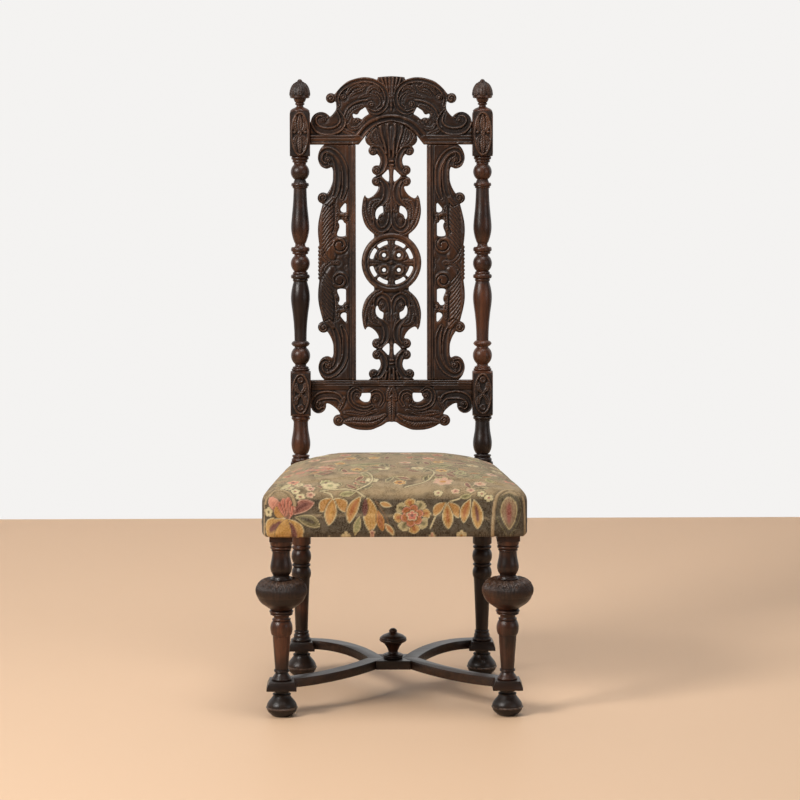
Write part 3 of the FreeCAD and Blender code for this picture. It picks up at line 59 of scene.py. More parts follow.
# %% Camera
FOCAL_LENGTH = 157.5
SENSOR_WIDTH = 36.0
FARTHEST = 60.0
CAMERA_PLACE = (-0.109, -7.063, 1.616)
LOOK_DOWN = math.radians(8.11)
TURN = math.radians(-1.0)
lens = bpy.data.cameras.new("camera")
lens.lens = FOCAL_LENGTH
lens.sensor_width = SENSOR_WIDTH
lens.clip_end = FARTHEST
camera = bpy.data.objects.new("camera", lens)
bpy.context.scene.collection.objects.link(camera)
camera.location = CAMERA_PLACE
camera.rotation_euler = (math.pi / 2 - LOOK_DOWN, 0, TURN)
bpy.context.scene.camera = camera
bpy.context.scene.view_settings.view_transform = "Standard"
print("the lens takes in, in degrees:", round(math.degrees(lens.angle), 1))

# %% [markdown]
# ## Building materials from nodes
# Every finish here is worked out by a small tree of nodes, with no picture. Three helpers keep such trees
# short: an empty material, one node with its values and links, and one sum.

# %% Helpers for materials


def new_material(name):
    """An empty material with its node tree and its shader."""
    material = bpy.data.materials.new(name)
    material.use_nodes = True
    return material, material.node_tree, material.node_tree.nodes["Principled BSDF"]


def add_node(tree, kind, values=None, **settings):
    """A node with its settings and input values; a value that is a socket is linked."""
    node = tree.nodes.new(kind)
    for label, value in settings.items():
        setattr(node, label, value)
    for label, value in (values or {}).items():
        if isinstance(value, bpy.types.NodeSocket):
            tree.links.new(value, node.inputs[label])
        else:
            node.inputs[label].default_value = value
    return node


def sum_up(tree, operation, first, second=0.0, third=0.0):
    """The output of one Math node, its result kept between 0 and 1."""
    return add_node(tree, "ShaderNodeMath", {0: first, 1: second, 2: third}, operation=operation,
                    use_clamp=True).outputs[0]


# %% [markdown]
# ## Floor and wall
# A plain floor takes the chair's shadow. The wall behind is nearly white. It shows its own colour to the
# camera and in reflections, so that it stays pale without more light on the chair. Both are clear from their
# far side, or they would hide the chair from behind and from below.

# %% Floor
ROOM = 14.0


def flat_sheet(name, turn, place):
    """A large square sheet, turned and put in its place."""
    mesh = bpy.data.meshes.new(name)
    sheet = bmesh.new()
    bmesh.ops.create_grid(sheet, x_segments=1, y_segments=1, size=ROOM)
    bmesh.ops.transform(sheet, matrix=Matrix.Translation(place) @ turn, verts=sheet.verts)
    sheet.to_mesh(mesh)
    sheet.free()
    made = bpy.data.objects.new(name, mesh)
    bpy.context.scene.collection.objects.link(made)
    return made


def one_sided(tree, surface):
    """Makes a sheet clear from its far side, so that the chair is seen from behind and below too."""
    side = add_node(tree, "ShaderNodeNewGeometry").outputs["Backfacing"]
    clear = add_node(tree, "ShaderNodeBsdfTransparent").outputs[0]
    choose = add_node(tree, "ShaderNodeMixShader", {0: side, 1: surface, 2: clear})
    tree.links.new(choose.outputs[0], tree.nodes["Material Output"].inputs["Surface"])


floor = flat_sheet("floor", Matrix.Identity(4), Vector((0, 0, 0)))
floor_finish, tree, shader = new_material("pale_floor")
shader.inputs["Base Color"].default_value = (0.66, 0.45, 0.29, 1)
shader.inputs["Roughness"].default_value = 0.6
one_sided(tree, shader.outputs[0])
floor.data.materials.append(floor_finish)

# %% [markdown]
# The wall is lit like anything else, but a ray from the camera, from a glossy surface or through a clear one
# meets a plain glow in its place.

# %% Wall
WALL_Y = 2.06
WALL_COLOUR = (0.88, 0.87, 0.86, 1)
WALL_GLOW = (0.905, 0.893, 0.880, 1)
wall = flat_sheet("wall", Matrix.Rotation(math.pi / 2, 4, "X"), Vector((0, WALL_Y, 0)))
wall_finish, tree, shader = new_material("pale_wall")
shader.inputs["Base Color"].default_value = WALL_COLOUR
shader.inputs["Roughness"].default_value = 0.9
glow = add_node(tree, "ShaderNodeEmission", {"Color": WALL_GLOW}).outputs[0]
rays = add_node(tree, "ShaderNodeLightPath").outputs
seen = sum_up(tree, "MAXIMUM", rays["Is Camera Ray"], rays["Is Glossy Ray"])
seen = sum_up(tree, "MAXIMUM", seen, rays["Is Transmission Ray"])
shown = add_node(tree, "ShaderNodeMixShader", {0: seen, 1: shader.outputs[0], 2: glow}).outputs[0]
one_sided(tree, shown)
wall.data.materials.append(wall_finish)

# %% [markdown]
# ## Light
# A wide soft lamp at the upper left is the window of the room. It puts a pale streak on the left of every
# turned piece. Weaker ones at the right and overhead, and an even sky, fill the shadows.

# %% Light
MIDDLE = (0, 0, 0.6)
SKY_STRENGTH = 0.13


def soft_lamp(name, place, size, power, colour):
    """A square area lamp that points from its place at the middle of the chair."""
    lamp = bpy.data.lights.new(name, "AREA")
    lamp.size = size
    lamp.energy = power
    lamp.color = colour
    made = bpy.data.objects.new(name, lamp)
    bpy.context.scene.collection.objects.link(made)
    made.location = place
    made.rotation_euler = (Vector(MIDDLE) - Vector(place)).to_track_quat("-Z", "Y").to_euler()
    print("lamp:", name, "watts:", power)


soft_lamp("window", (-3.2, -2.6, 3.0), 1.4, 215, (1.0, 0.98, 0.95))
soft_lamp("fill", (3.4, -2.6, 1.6), 1.6, 26, (0.95, 0.97, 1.0))
soft_lamp("above", (0.3, -0.6, 3.6), 1.6, 60, (1.0, 1.0, 1.0))
sky = bpy.data.worlds.new("room_light")
sky.use_nodes = True
sky_light = sky.node_tree.nodes["Background"].inputs
sky_light["Color"].default_value = (1.0, 0.985, 0.965, 1)
sky_light["Strength"].default_value = SKY_STRENGTH
bpy.context.scene.world = sky

# %% [markdown]
# ## Old waxed walnut
# The walnut was stained nearly black, then waxed for three hundred years. Hands and dusters have worn the
# high parts back to a warm red-brown. The hollows are painted darker, partly for the wax and dust gathered
# there and partly as painted shade. So the colour follows the shape. A carved piece stores two numbers for
# each point: how deep it lies, and how far it stands above what is round it. Elsewhere, edges and hollows are
# found from how the surface bends. The grain is noise stretched along the length of the timber.
#
# Two shader groups hold what every wooden piece shares. Each material places them with its own values.

# %% Helpers for shader groups


def shader_group(name, inputs, outputs):
    """A shader node group with named sockets; gives its tree, its input node and its output node."""
    group = bpy.data.node_groups.new(name, "ShaderNodeTree")
    for label, kind, value in inputs:
        socket = group.interface.new_socket(label, in_out="INPUT", socket_type=kind)
        if value is not None:
            socket.default_value = value
    for label, kind in outputs:
        group.interface.new_socket(label, in_out="OUTPUT", socket_type=kind)
    return group, group.nodes.new("NodeGroupInput"), group.nodes.new("NodeGroupOutput")


def blend_colours(tree, share, first, second):
    """The output of one Mix node for colours."""
    node = add_node(tree, "ShaderNodeMix", data_type="RGBA")
    for socket, value in ((node.inputs[0], share), (node.inputs[6], first), (node.inputs[7], second)):
        if isinstance(value, bpy.types.NodeSocket):
            tree.links.new(value, socket)
        else:
            socket.default_value = value
    return node.outputs[2]


def rising(tree, value, low, high):
    """0 below low, 1 above high, and a smooth rise between."""
    node = add_node(tree, "ShaderNodeMapRange", {0: value, 1: low, 2: high},
                    interpolation_type="SMOOTHSTEP")
    return node.outputs[0]


# %% Group: walnut grain
grain, entry, result = shader_group(
    "walnut_grain",
    [("Along", "NodeSocketVector", None)],
    [("Figure", "NodeSocketFloat"), ("Pores", "NodeSocketFloat")],
)
ACROSS_TO_ALONG = 0.06
stretched = add_node(grain, "ShaderNodeMapping", {"Vector": entry.outputs["Along"],
                                                  "Scale": (1, 1, ACROSS_TO_ALONG)})
figure = add_node(grain, "ShaderNodeTexNoise", {"Vector": stretched.outputs[0], "Scale": 130.0,
                                                "Detail": 5.0, "Distortion": 0.6})
pores = add_node(grain, "ShaderNodeTexNoise", {"Vector": stretched.outputs[0], "Scale": 900.0,
                                               "Detail": 2.0})
grain.links.new(rising(grain, figure.outputs["Fac"], 0.32, 0.68), result.inputs["Figure"])
grain.links.new(rising(grain, pores.outputs["Fac"], 0.56, 0.70), result.inputs["Pores"])
print("shader group:", grain.name)

# %% [markdown]
# The second group puts out what has been rubbed, what lies deep, and large soft patches where the stain has
# faded. What lies deep is darkened in the material, partly as wax and dust and partly as painted shade. A
# finish says how much of it comes from the bend of the surface, because on turned pieces the bend alone would
# speckle the flat blocks.

# %% Group: worn, dusty and painted shade
aging_and_shade, entry, result = shader_group(
    "wear_dust_and_painted_shade",
    [("Place", "NodeSocketVector", None), ("From bend", "NodeSocketFloat", 1.0)],
    [("Worn", "NodeSocketFloat"), ("Hollow dust and shade", "NodeSocketFloat"), ("Patches", "NodeSocketFloat")],
)
bend = add_node(aging_and_shade, "ShaderNodeNewGeometry").outputs["Pointiness"]
# The stored depth of carved points, for hollows darkened partly as dust and partly as painted shade.
depth = add_node(aging_and_shade, "ShaderNodeAttribute", attribute_name="recess_dust_and_shade").outputs["Fac"]
crown = add_node(aging_and_shade, "ShaderNodeAttribute", attribute_name="ridge").outputs["Fac"]
cloud = add_node(aging_and_shade, "ShaderNodeTexNoise", {"Vector": entry.outputs["Place"], "Scale": 9.0,
                                              "Detail": 4.0}).outputs["Fac"]
speckle = add_node(aging_and_shade, "ShaderNodeTexNoise", {"Vector": entry.outputs["Place"], "Scale": 160.0,
                                                "Detail": 3.0}).outputs["Fac"]
bent = sum_up(aging_and_shade, "MULTIPLY", rising(aging_and_shade, bend, 0.52, 0.62), entry.outputs["From bend"])
edges = sum_up(aging_and_shade, "MAXIMUM", bent, crown)
broken = sum_up(aging_and_shade, "MULTIPLY", edges, rising(aging_and_shade, speckle, 0.30, 0.62))
# Hollows found from the bend, darkened partly as dust and partly as painted shade.
hollow_dust_and_shade = sum_up(aging_and_shade, "SUBTRACT", 1.0, rising(aging_and_shade, bend, 0.42, 0.495))
hollow_shade_from_bend = sum_up(aging_and_shade, "MULTIPLY", entry.outputs["From bend"], 4.0)
hollow_dust_and_shade = sum_up(aging_and_shade, "MULTIPLY", hollow_dust_and_shade, hollow_shade_from_bend)
aging_and_shade.links.new(broken, result.inputs["Worn"])
aging_and_shade.links.new(sum_up(aging_and_shade, "MAXIMUM", hollow_dust_and_shade, depth), result.inputs["Hollow dust and shade"])
aging_and_shade.links.new(rising(aging_and_shade, cloud, 0.40, 0.66), result.inputs["Patches"])
print("shader group:", aging_and_shade.name)

# %% [markdown]
# One function mixes every wood of the chair from its colours: the face, darker figure and pores, the rubbed
# edges, and the dark of the hollows, which is partly wax and dust and partly painted shade. Hollows are dull
# and the face has the soft shine of wax.

# %% Material: walnut
WAX_SHINE = 0.32
HOLLOW_ROUGHNESS = 0.75


def walnut(name, timber_turn, dark, body, warm, worn, gloss, from_bend=1.0):
    """Waxed wood. timber_turn lays the grain along the timber; the colours go from hollow to edge."""
    material, tree, shader = new_material(name)
    place = add_node(tree, "ShaderNodeTexCoord").outputs["Object"]
    along = add_node(tree, "ShaderNodeMapping", {"Vector": place, "Rotation": timber_turn})
    figure = add_node(tree, "ShaderNodeGroup", node_tree=grain)
    tree.links.new(along.outputs[0], figure.inputs["Along"])
    age_and_shade = add_node(tree, "ShaderNodeGroup", node_tree=aging_and_shade)
    tree.links.new(place, age_and_shade.inputs["Place"])
    age_and_shade.inputs["From bend"].default_value = from_bend
    face = blend_colours(tree, age_and_shade.outputs["Patches"], body, warm)
    shade = sum_up(tree, "MULTIPLY", figure.outputs["Figure"], 0.55)
    face = blend_colours(tree, shade, face, dark)
    face = blend_colours(tree, age_and_shade.outputs["Worn"], face, worn)
    face = blend_colours(tree, sum_up(tree, "MULTIPLY", figure.outputs["Pores"], 0.5), face, dark)
    # Painted shade and dust: the hollows go dark.
    face = blend_colours(tree, sum_up(tree, "MULTIPLY", age_and_shade.outputs["Hollow dust and shade"], 0.85), face, dark)
    tree.links.new(face, shader.inputs["Base Color"])
    dull = add_node(tree, "ShaderNodeMapRange", {0: age_and_shade.outputs["Hollow dust and shade"], 3: gloss, 4: HOLLOW_ROUGHNESS})
    tree.links.new(dull.outputs[0], shader.inputs["Roughness"])
    height = add_node(tree, "ShaderNodeMath", {0: figure.outputs["Pores"], 1: -0.5,
                                               2: figure.outputs["Figure"]},
                      operation="MULTIPLY_ADD")
    relief = add_node(tree, "ShaderNodeBump", {"Strength": 0.25, "Distance": 0.0006,
                                               "Height": height.outputs[0]})
    tree.links.new(relief.outputs[0], shader.inputs["Normal"])
    shader.inputs["Specular IOR Level"].default_value = WAX_SHINE
    return material


UPRIGHT = (0, 0, 0)
LEVEL = (0, math.pi / 2, 0)
NEAR_BLACK = (0.006, 0.0035, 0.0025, 1)
STAIN = (0.026, 0.012, 0.007, 1)
RED_BROWN = (0.090, 0.034, 0.014, 1)
RUBBED = (0.15, 0.085, 0.055, 1)
CARVED_GLOSS = 0.31
upright_walnut = walnut("upright_walnut", UPRIGHT, NEAR_BLACK, STAIN, RED_BROWN, RUBBED, CARVED_GLOSS)
level_walnut = walnut("level_walnut", LEVEL, NEAR_BLACK, STAIN, RED_BROWN, RUBBED, CARVED_GLOSS)
print("walnut for the carved boards:", upright_walnut.name, level_walnut.name)

# %% [markdown]
# ## Drawing the carving
# A carver works a board from its face down: the ground is cut away and what stands up is left. The same is
# done here. Each line of the carving is drawn on the board as a few points with a half width, in
# millimetres, and has a section: round, hollowed between two lips, flat, or a leaf with veins. Where lines
# overlap the higher one shows, and grooves are cut last. The back of this chair is the same on both sides
# of its middle, so only one side is drawn.

# %% Smooth lines


def flowing(points, steps=7):
    """More points on a smooth curve through the given ones."""
    given = np.array(points, float)
    ends = np.vstack([2 * given[0] - given[1], given, 2 * given[-1] - given[-2]])
    share = np.linspace(0, 1, steps, endpoint=False)[:, None]
    runs = []
    for before, start, stop, after in zip(ends, ends[1:], ends[2:], ends[3:]):
        runs.append(0.5 * (2 * start + (stop - before) * share
                           + (2 * before - 5 * start + 4 * stop - after) * share**2
                           + (3 * start - before - 3 * stop + after) * share**3))
    return np.vstack(runs + [given[-1:]])


def along_line(path, spots):
    """For each spot its distance from the line in half widths, and its place along the line."""
    nearest = np.full(len(spots), np.inf)
    place = np.zeros(len(spots))
    travelled = 0.0
    for start, stop in zip(path, path[1:]):
        run = stop[:2] - start[:2]
        length = max(np.hypot(*run), 1e-6)
        share = np.clip(((spots - start[:2]) @ run) / length**2, 0, 1)
        gap = np.hypot(*(spots - start[:2] - share[:, None] * run).T)
        gap = gap / (start[2] + share * (stop[2] - start[2]))
        closer = gap < nearest
        nearest[closer] = gap[closer]
        place[closer] = travelled + (share * length)[closer]
        travelled += length
    return nearest, place


# %% [markdown]
# The section of a line says how high it stands from its middle out to its edge. A leaf also has a rib down
# its middle and slanting veins, a fixed distance apart along it.

# %% Sections
VEIN_PITCH = 5.0
VEIN_SLANT = 1.5
HOLLOW_FLOOR = 0.35
LEAF_FLOOR = 0.58


def section(shape, across, place):
    """Height of a line's section, 0 to 1, at a distance across it."""
    dome = np.sqrt(np.clip(1 - across**2, 0, 1))
    shoulder = np.clip((1 - across) / 0.25, 0, 1) ** 0.5
    if shape == "hollow":
        return shoulder * (HOLLOW_FLOOR + (1 - HOLLOW_FLOOR) * np.clip(across / 0.75, 0, 1) ** 2)
    if shape == "flat":
        return shoulder
    if shape == "leaf":
        veins = np.abs(np.sin(np.pi * (place / VEIN_PITCH - VEIN_SLANT * across))) ** 0.6
        rib = 1 - 0.5 * np.exp(-((across / 0.12) ** 2))
        return dome**0.5 * (LEAF_FLOOR + (1 - LEAF_FLOOR) * veins) * rib
    return dome


def carved_height(lines, spots):
    """Height above the ground, in millimetres, of the carving at each spot."""
    height = np.zeros(len(spots))
    for shape, level, points in sorted(lines, key=lambda line: line[0] == "groove"):
        path = flowing(points) if len(points) > 1 else np.array([points[0], points[0]], float)
        reach = path[:, 2].max()
        low, high = path[:, :2].min(0) - reach, path[:, :2].max(0) + reach
        near = np.flatnonzero(((spots > low) & (spots < high)).all(1))
        across, place = along_line(path, spots[near])
        inside = across < 1
        near, across, place = near[inside], across[inside], place[inside]
        raised = level * section(shape, across, place)
        if shape == "groove":
            height[near] -= raised
        else:
            height[near] = np.maximum(height[near], raised)
    return height


# %% [markdown]
# Three forms come back all over the chair, so each has its own function: a ring or spiral, a groove that
# follows a scroll, and the rolled knob in which a scroll ends.

# %% Rings, grooves and knobs
ARC_STEP = 24
EYE_DROP = 0.6


def ring(shape, level, x, w, radius, half, start=0.0, stop=360.0, end_radius=None):
    """A round line about a centre, or a spiral where its last radius differs."""
    last = radius if end_radius is None else end_radius
    count = max(4, int(abs(stop - start) / ARC_STEP))
    points = []
    for step in range(count + 1):
        share = step / count
        angle = math.radians(start + share * (stop - start))
        reach = radius + share * (last - radius)
        points.append((x + reach * math.cos(angle), w + reach * math.sin(angle), half))
    return (shape, level, points)


def beside(line, offset, half, level):
    """A groove that follows a line at a distance to its side."""
    path = flowing(line[2])
    run = np.gradient(path[:, :2], axis=0)
    run /= np.maximum(np.hypot(*run.T), 1e-6)[:, None]
    moved = path[:, :2] + offset * np.stack([-run[:, 1], run[:, 0]], 1) * path[:, 2:3]
    return ("groove", level, [(x, w, half) for x, w in moved[::4]])


def knob(level, x, w, radius):
    """A rolled knob: a groove winds in to its eye like a snail's shell."""
    return [("round", level, [(x, w, radius)]), ("flat", level - EYE_DROP, [(x, w, radius * 0.9)]),
            ring("groove", 2.6, x, w, radius * 0.86, 1.15, 60, 600, radius * 0.22)]


# %% [markdown]
# ## The raked plane of the back
# The posts lean back above the seat, and the boards between them lie in the same leaning plane. Points are
# given in that plane: x across, w up along the lean from the bend in the posts, t through the thickness.

# %% The raked plane
RAKE = math.radians(4.6)
BEND = Vector((0, 0.1708, 0.430))
lean = np.array(Matrix(((1, 0, 0), (0, math.cos(RAKE), math.sin(RAKE)),
                        (0, -math.sin(RAKE), math.cos(RAKE)))))
bend_point = np.array(BEND)


def to_board(points):
    """Points of the room as (x, t, w) of the leaning plane, in millimetres."""
    return (points - bend_point) @ lean / MM


def from_board(points):
    """Points (x, t, w) of the leaning plane, in millimetres, as points of the room."""
    return (points * MM) @ lean.T + bend_point


def read_points(mesh):
    """The points of a mesh as rows of x, y, z."""
    points = np.empty(len(mesh.vertices) * 3)
    mesh.vertices.foreach_get("co", points)
    return points.reshape(-1, 3)


def read_normals(mesh):
    """The directions in which the points of a mesh face, as rows of x, y, z."""
    normals = np.empty(len(mesh.vertices) * 3)
    mesh.vertices.foreach_get("normal", normals)
    return normals.reshape(-1, 3)


def write_points(mesh, points):
    """Moves the points of a mesh to rows of x, y, z."""
    mesh.vertices.foreach_set("co", points.ravel())


def keep_values(mesh, name, values):
    """Stores one number for each point of a mesh, for the material to read."""
    mesh.attributes.new(name, "FLOAT", "POINT").data.foreach_set("value", np.array(values, "f"))


print("the back leans, in degrees:", round(math.degrees(RAKE), 1))


# %% [markdown]
# ## Cutting a board
# The built board is copied, its loose triangles are joined, and it is remeshed into small even squares, so
# that there are points to move everywhere. A voxel remesh is used for that, since it needs no care about how
# the openings of the board were cut.

# %% A board of small squares
GRID = 1.25 * MM
SAME_POINT = 0.002 * MM


def live_copy(name, mesh):
    """An object that holds the mesh, in the scene."""
    made = bpy.data.objects.new(name, mesh)
    bpy.context.scene.collection.objects.link(made)
    return made


def joined_copy(node):
    """A copy of a built piece whose loose triangles are joined."""
    mesh = nodes[node].data.copy()
    solid = bmesh.new()
    solid.from_mesh(mesh)
    bmesh.ops.remove_doubles(solid, verts=solid.verts, dist=SAME_POINT)
    solid.to_mesh(mesh)
    solid.free()
    return mesh


def apply_modifiers(piece):
    """Puts the result of the piece's modifiers into its mesh."""
    bpy.context.view_layer.update()
    shaped = piece.evaluated_get(bpy.context.evaluated_depsgraph_get())
    mesh = bpy.data.meshes.new_from_object(shaped)
    piece.modifiers.clear()
    piece.data = mesh
    return mesh


def even_squares(piece, size):
    """Remeshes a piece into even squares of one size."""
    squares = piece.modifiers.new("squares", "REMESH")
    squares.mode = "VOXEL"
    squares.voxel_size = size
    squares.use_smooth_shade = True
    return apply_modifiers(piece)


# %% [markdown]
# The carver leaves no flat ground between the lines: it stands up as a bed that dips beside each line. At
# the outline the knife rounds everything off, so the distance to the outline is measured too. And no hand
# cuts quite evenly.

# %% Height of a carved face
DRAWN_GROUND = 5.5
DEEPER = 1.3
GROUND = DRAWN_GROUND * DEEPER
BED = 3.4
BED_DIP = 0.85
ROUND_REACH = 3.6
ROUND_DROP = 2.0
UNEVEN = 0.22
LONG_WAVE, SHORT_WAVE = 11, 3


def near_outline(points, walls):
    """Distance of each point, in the plane, from the nearest point of the board's edge."""
    tree = kdtree.KDTree(len(walls))
    for index, (x, w) in enumerate(walls):
        tree.insert((x, w, 0), index)
    tree.balance()
    return np.array([tree.find((x, w, 0))[2] for x, w in points])


def above_neighbours(spots, height, reach=3):
    """How much each spot stands above the mean of the spots near it, in millimetres."""
    cells = np.round(spots).astype(int)
    cells = tuple((cells - cells.min(0) + 2 * reach + 1).T)
    shape = [index.max() + 2 * reach + 2 for index in cells]
    total, count = np.zeros(shape), np.zeros(shape)
    np.add.at(total, cells, height)
    np.add.at(count, cells, 1)
    for axis in (0, 1, 0, 1):
        total = sum(np.roll(total, step, axis) for step in range(-reach, reach + 1))
        count = sum(np.roll(count, step, axis) for step in range(-reach, reach + 1))
    return height - total[cells] / np.maximum(count[cells], 1)


def hand_cut(lines, fold, spots, walls):
    """Height of the finished carving at each spot. fold brings a spot to the side that is drawn."""
    height = carved_height(lines, fold(spots))
    nearby = height - above_neighbours(spots, height)
    height = DEEPER * np.maximum(height, BED - BED_DIP * nearby)
    edge = np.clip(near_outline(spots, walls) / ROUND_REACH, 0, 1)
    height -= ROUND_DROP * (1 - np.sqrt(1 - (1 - edge) ** 2))
    uneven = [noise.noise((x / LONG_WAVE, w / LONG_WAVE, 0))
              + 0.5 * noise.noise((x / SHORT_WAVE, w / SHORT_WAVE, 5)) for x, w in spots]
    return np.minimum(height + UNEVEN * np.array(uneven), GROUND)


# %% [markdown]
# Every point near the face goes down to the carving. Points on the first millimetres of the board's edge
# follow, less and less, so the edge is only pressed together and stays whole. Each point keeps how deep it
# lies, which the finish paints darker as dust and shade, and how far it stands out, for the finish.

# %% Cutting
FOLLOW = 12.0
FACE_DEPTH = 0.6
EDGE_MARGIN = 4.0
# Points off the carved face get a little of the painted shade and dust too.
PLAIN_DUST_AND_SHADE = 0.15


def keep_wear_and_shade(mesh, front, share, spots, height):
    """Stores how deep each point of the face lies, for painted shade and dust, and how far it stands above
    what is round it.
    """
    above = above_neighbours(spots, height)
    depth = 0.85 * np.clip((GROUND - height) / GROUND, 0, 1) ** 1.2 - 0.45 * above
    recess_dust_and_shade = np.full(len(mesh.vertices), PLAIN_DUST_AND_SHADE)
    ridge = np.zeros(len(mesh.vertices))
    recess_dust_and_shade[front] = PLAIN_DUST_AND_SHADE + share * (np.clip(depth, 0, 1) - PLAIN_DUST_AND_SHADE)
    ridge[front] = share * np.clip(above / 2.8 - 0.25, 0, 0.6)
    keep_values(mesh, "recess_dust_and_shade", recess_dust_and_shade)
    keep_values(mesh, "ridge", ridge)


def cut_board(node, lines, fold, finish, grid=GRID):
    """Replaces a built board with one carved on its face."""
    board = live_copy(node + "_carved", joined_copy(node))
    mesh = even_squares(board, grid)
    local = to_board(read_points(mesh))
    face, back = local[:, 1].min(), local[:, 1].max()
    share = np.clip(1 - (local[:, 1] - face - FACE_DEPTH) / FOLLOW, 0, 1)
    share = share**2 * (3 - 2 * share)
    front = np.flatnonzero(share > 0)
    spots = local[front][:, [0, 2]]
    walls = local[(local[:, 1] > face + EDGE_MARGIN) & (local[:, 1] < back - EDGE_MARGIN)][:, [0, 2]]
    height = hand_cut(lines, fold, spots, walls)
    local[front, 1] += share[front] * (GROUND - height)
    write_points(mesh, from_board(local))
    keep_wear_and_shade(mesh, front, share[front], spots, height)
    mesh.materials.clear()
    mesh.materials.append(finish)
    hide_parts(node)
    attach(board, "root")
    print(board.name, "points:", len(mesh.vertices), "deepest in mm:", round(GROUND - height.min(), 1))


# %% [markdown]
# A line is drawn once and serves both sides of the chair's middle. The side panels and the splat are also
# alike above and below the middle of the back, so there a spot is folded both ways.

# %% Folding a spot
BACK_MIDDLE = 441.0


def both_sides(spots):
    """Folds the left side onto the right."""
    return np.abs(spots)


def both_ways(spots):
    """Folds left onto right, and the lower half of the back onto the upper."""
    return np.stack([np.abs(spots[:, 0]), BACK_MIDDLE + np.abs(spots[:, 1] - BACK_MIDDLE)], 1)


# %% [markdown]
# ## Crest rail
# The crest is the showpiece: two large scrolls roll in towards a fan of petals in the middle, and beside
# each a fluted scroll runs out to the post. An arch below frames the head of the splat.

# %% Crest rail
flute = ("hollow", 5.5, [(112, 758, 3), (104, 746, 5.5), (101, 732, 8), (111, 719, 9), (129, 714, 9.5),
                         (148, 717, 9.5), (160, 729, 8), (160, 744, 7), (147, 751, 6), (135, 745, 5)])
great_scroll = ("hollow", 5.5, [(110, 768, 4), (113, 784, 5), (104, 801, 5.5), (84, 814, 5.5),
                                (62, 820, 5.5), (42, 819, 5.5), (25, 812, 5.5), (13, 799, 5.5),
                                (9, 783, 5.5), (12, 767, 5.5), (22, 756, 5), (35, 753, 4.5),
                                (46, 758, 4)])
crest_lines = [
    flute, beside(flute, 0.33, 0.9, 1.8), beside(flute, -0.33, 0.9, 1.8), great_scroll,
    ("flat", 5.0, [(70, 696.5, 11), (130, 696.5, 11), (186, 696.5, 11)]),
    ("groove", 1.8, [(70, 693.2, 1.1), (186, 693.2, 1.1)]),
    ("groove", 1.8, [(76, 700.6, 1.1), (186, 700.6, 1.1)]),
    ("round", 5.5, [(65, 690, 4.5), (57, 704, 4.5), (44, 718, 4.5), (26, 729, 4.5), (0, 735, 4.5)]),
    ("round", 4.6, [(78, 694, 4.5), (67, 711, 4.5), (53, 727, 4.5), (36, 738, 4.5), (18, 744, 4),
                    (0, 746, 4)]),
    ("hollow", 5.0, [(30, 793, 3), (21, 783, 4.2), (20, 769, 4.2), (28, 762, 3.4)]),
    ("round", 4.6, [(99, 742, 2.6), (92, 760, 3), (79, 771, 3), (64, 777, 3), (50, 779, 2.6)]),
    ("leaf", 4.2, [(92, 738, 4), (86, 752, 6.5), (74, 762, 7), (60, 767, 5)]),
    ("leaf", 4.8, [(92, 792, 3), (84, 804, 6), (72, 810, 6), (60, 806, 3)]),
    ("leaf", 4.4, [(84, 788, 3), (74, 796, 6), (62, 800, 5), (54, 808, 3)]),
    ("leaf", 4.6, [(50, 794, 3), (42, 804, 5.5), (31, 805, 4.5), (24, 798, 3)]),
    ("leaf", 4.0, [(66, 784, 3), (54, 788, 5), (44, 790, 4), (34, 787, 3)]),
    ("leaf", 4.0, [(104, 722, 4), (94, 714, 6), (82, 709, 6), (72, 702, 4)]),
    ("leaf", 4.2, [(90, 728, 4), (84, 720, 5), (70, 722, 5), (58, 734, 4)]),
    ("round", 5.2, [(2, 784, 2), (3, 806, 3.4), (4, 828, 3.8)]),
    ("round", 5.0, [(7, 796, 1.6), (10, 812, 3), (12.5, 828, 3.6)]),
    ("round", 4.8, [(13, 806, 1.6), (18, 818, 2.6), (21, 828, 3.4)]),
    ("round", 5.0, [(0, 758, 3), (0, 772, 4), (0, 786, 3)]),
    *knob(5.5, 140, 738, 7.5), *knob(5.5, 125, 782, 11), *knob(5.5, 99, 785, 8.5),
    *knob(5.5, 42, 770, 9), *knob(5.2, 72, 735, 8),
]
cut_board("crest_rail", crest_lines, both_sides, level_walnut)

# %% [markdown]
# ## Back rail
# The lower rail is a plain moulding with a pierced apron under it, scrolled like the crest turned upside
# down.

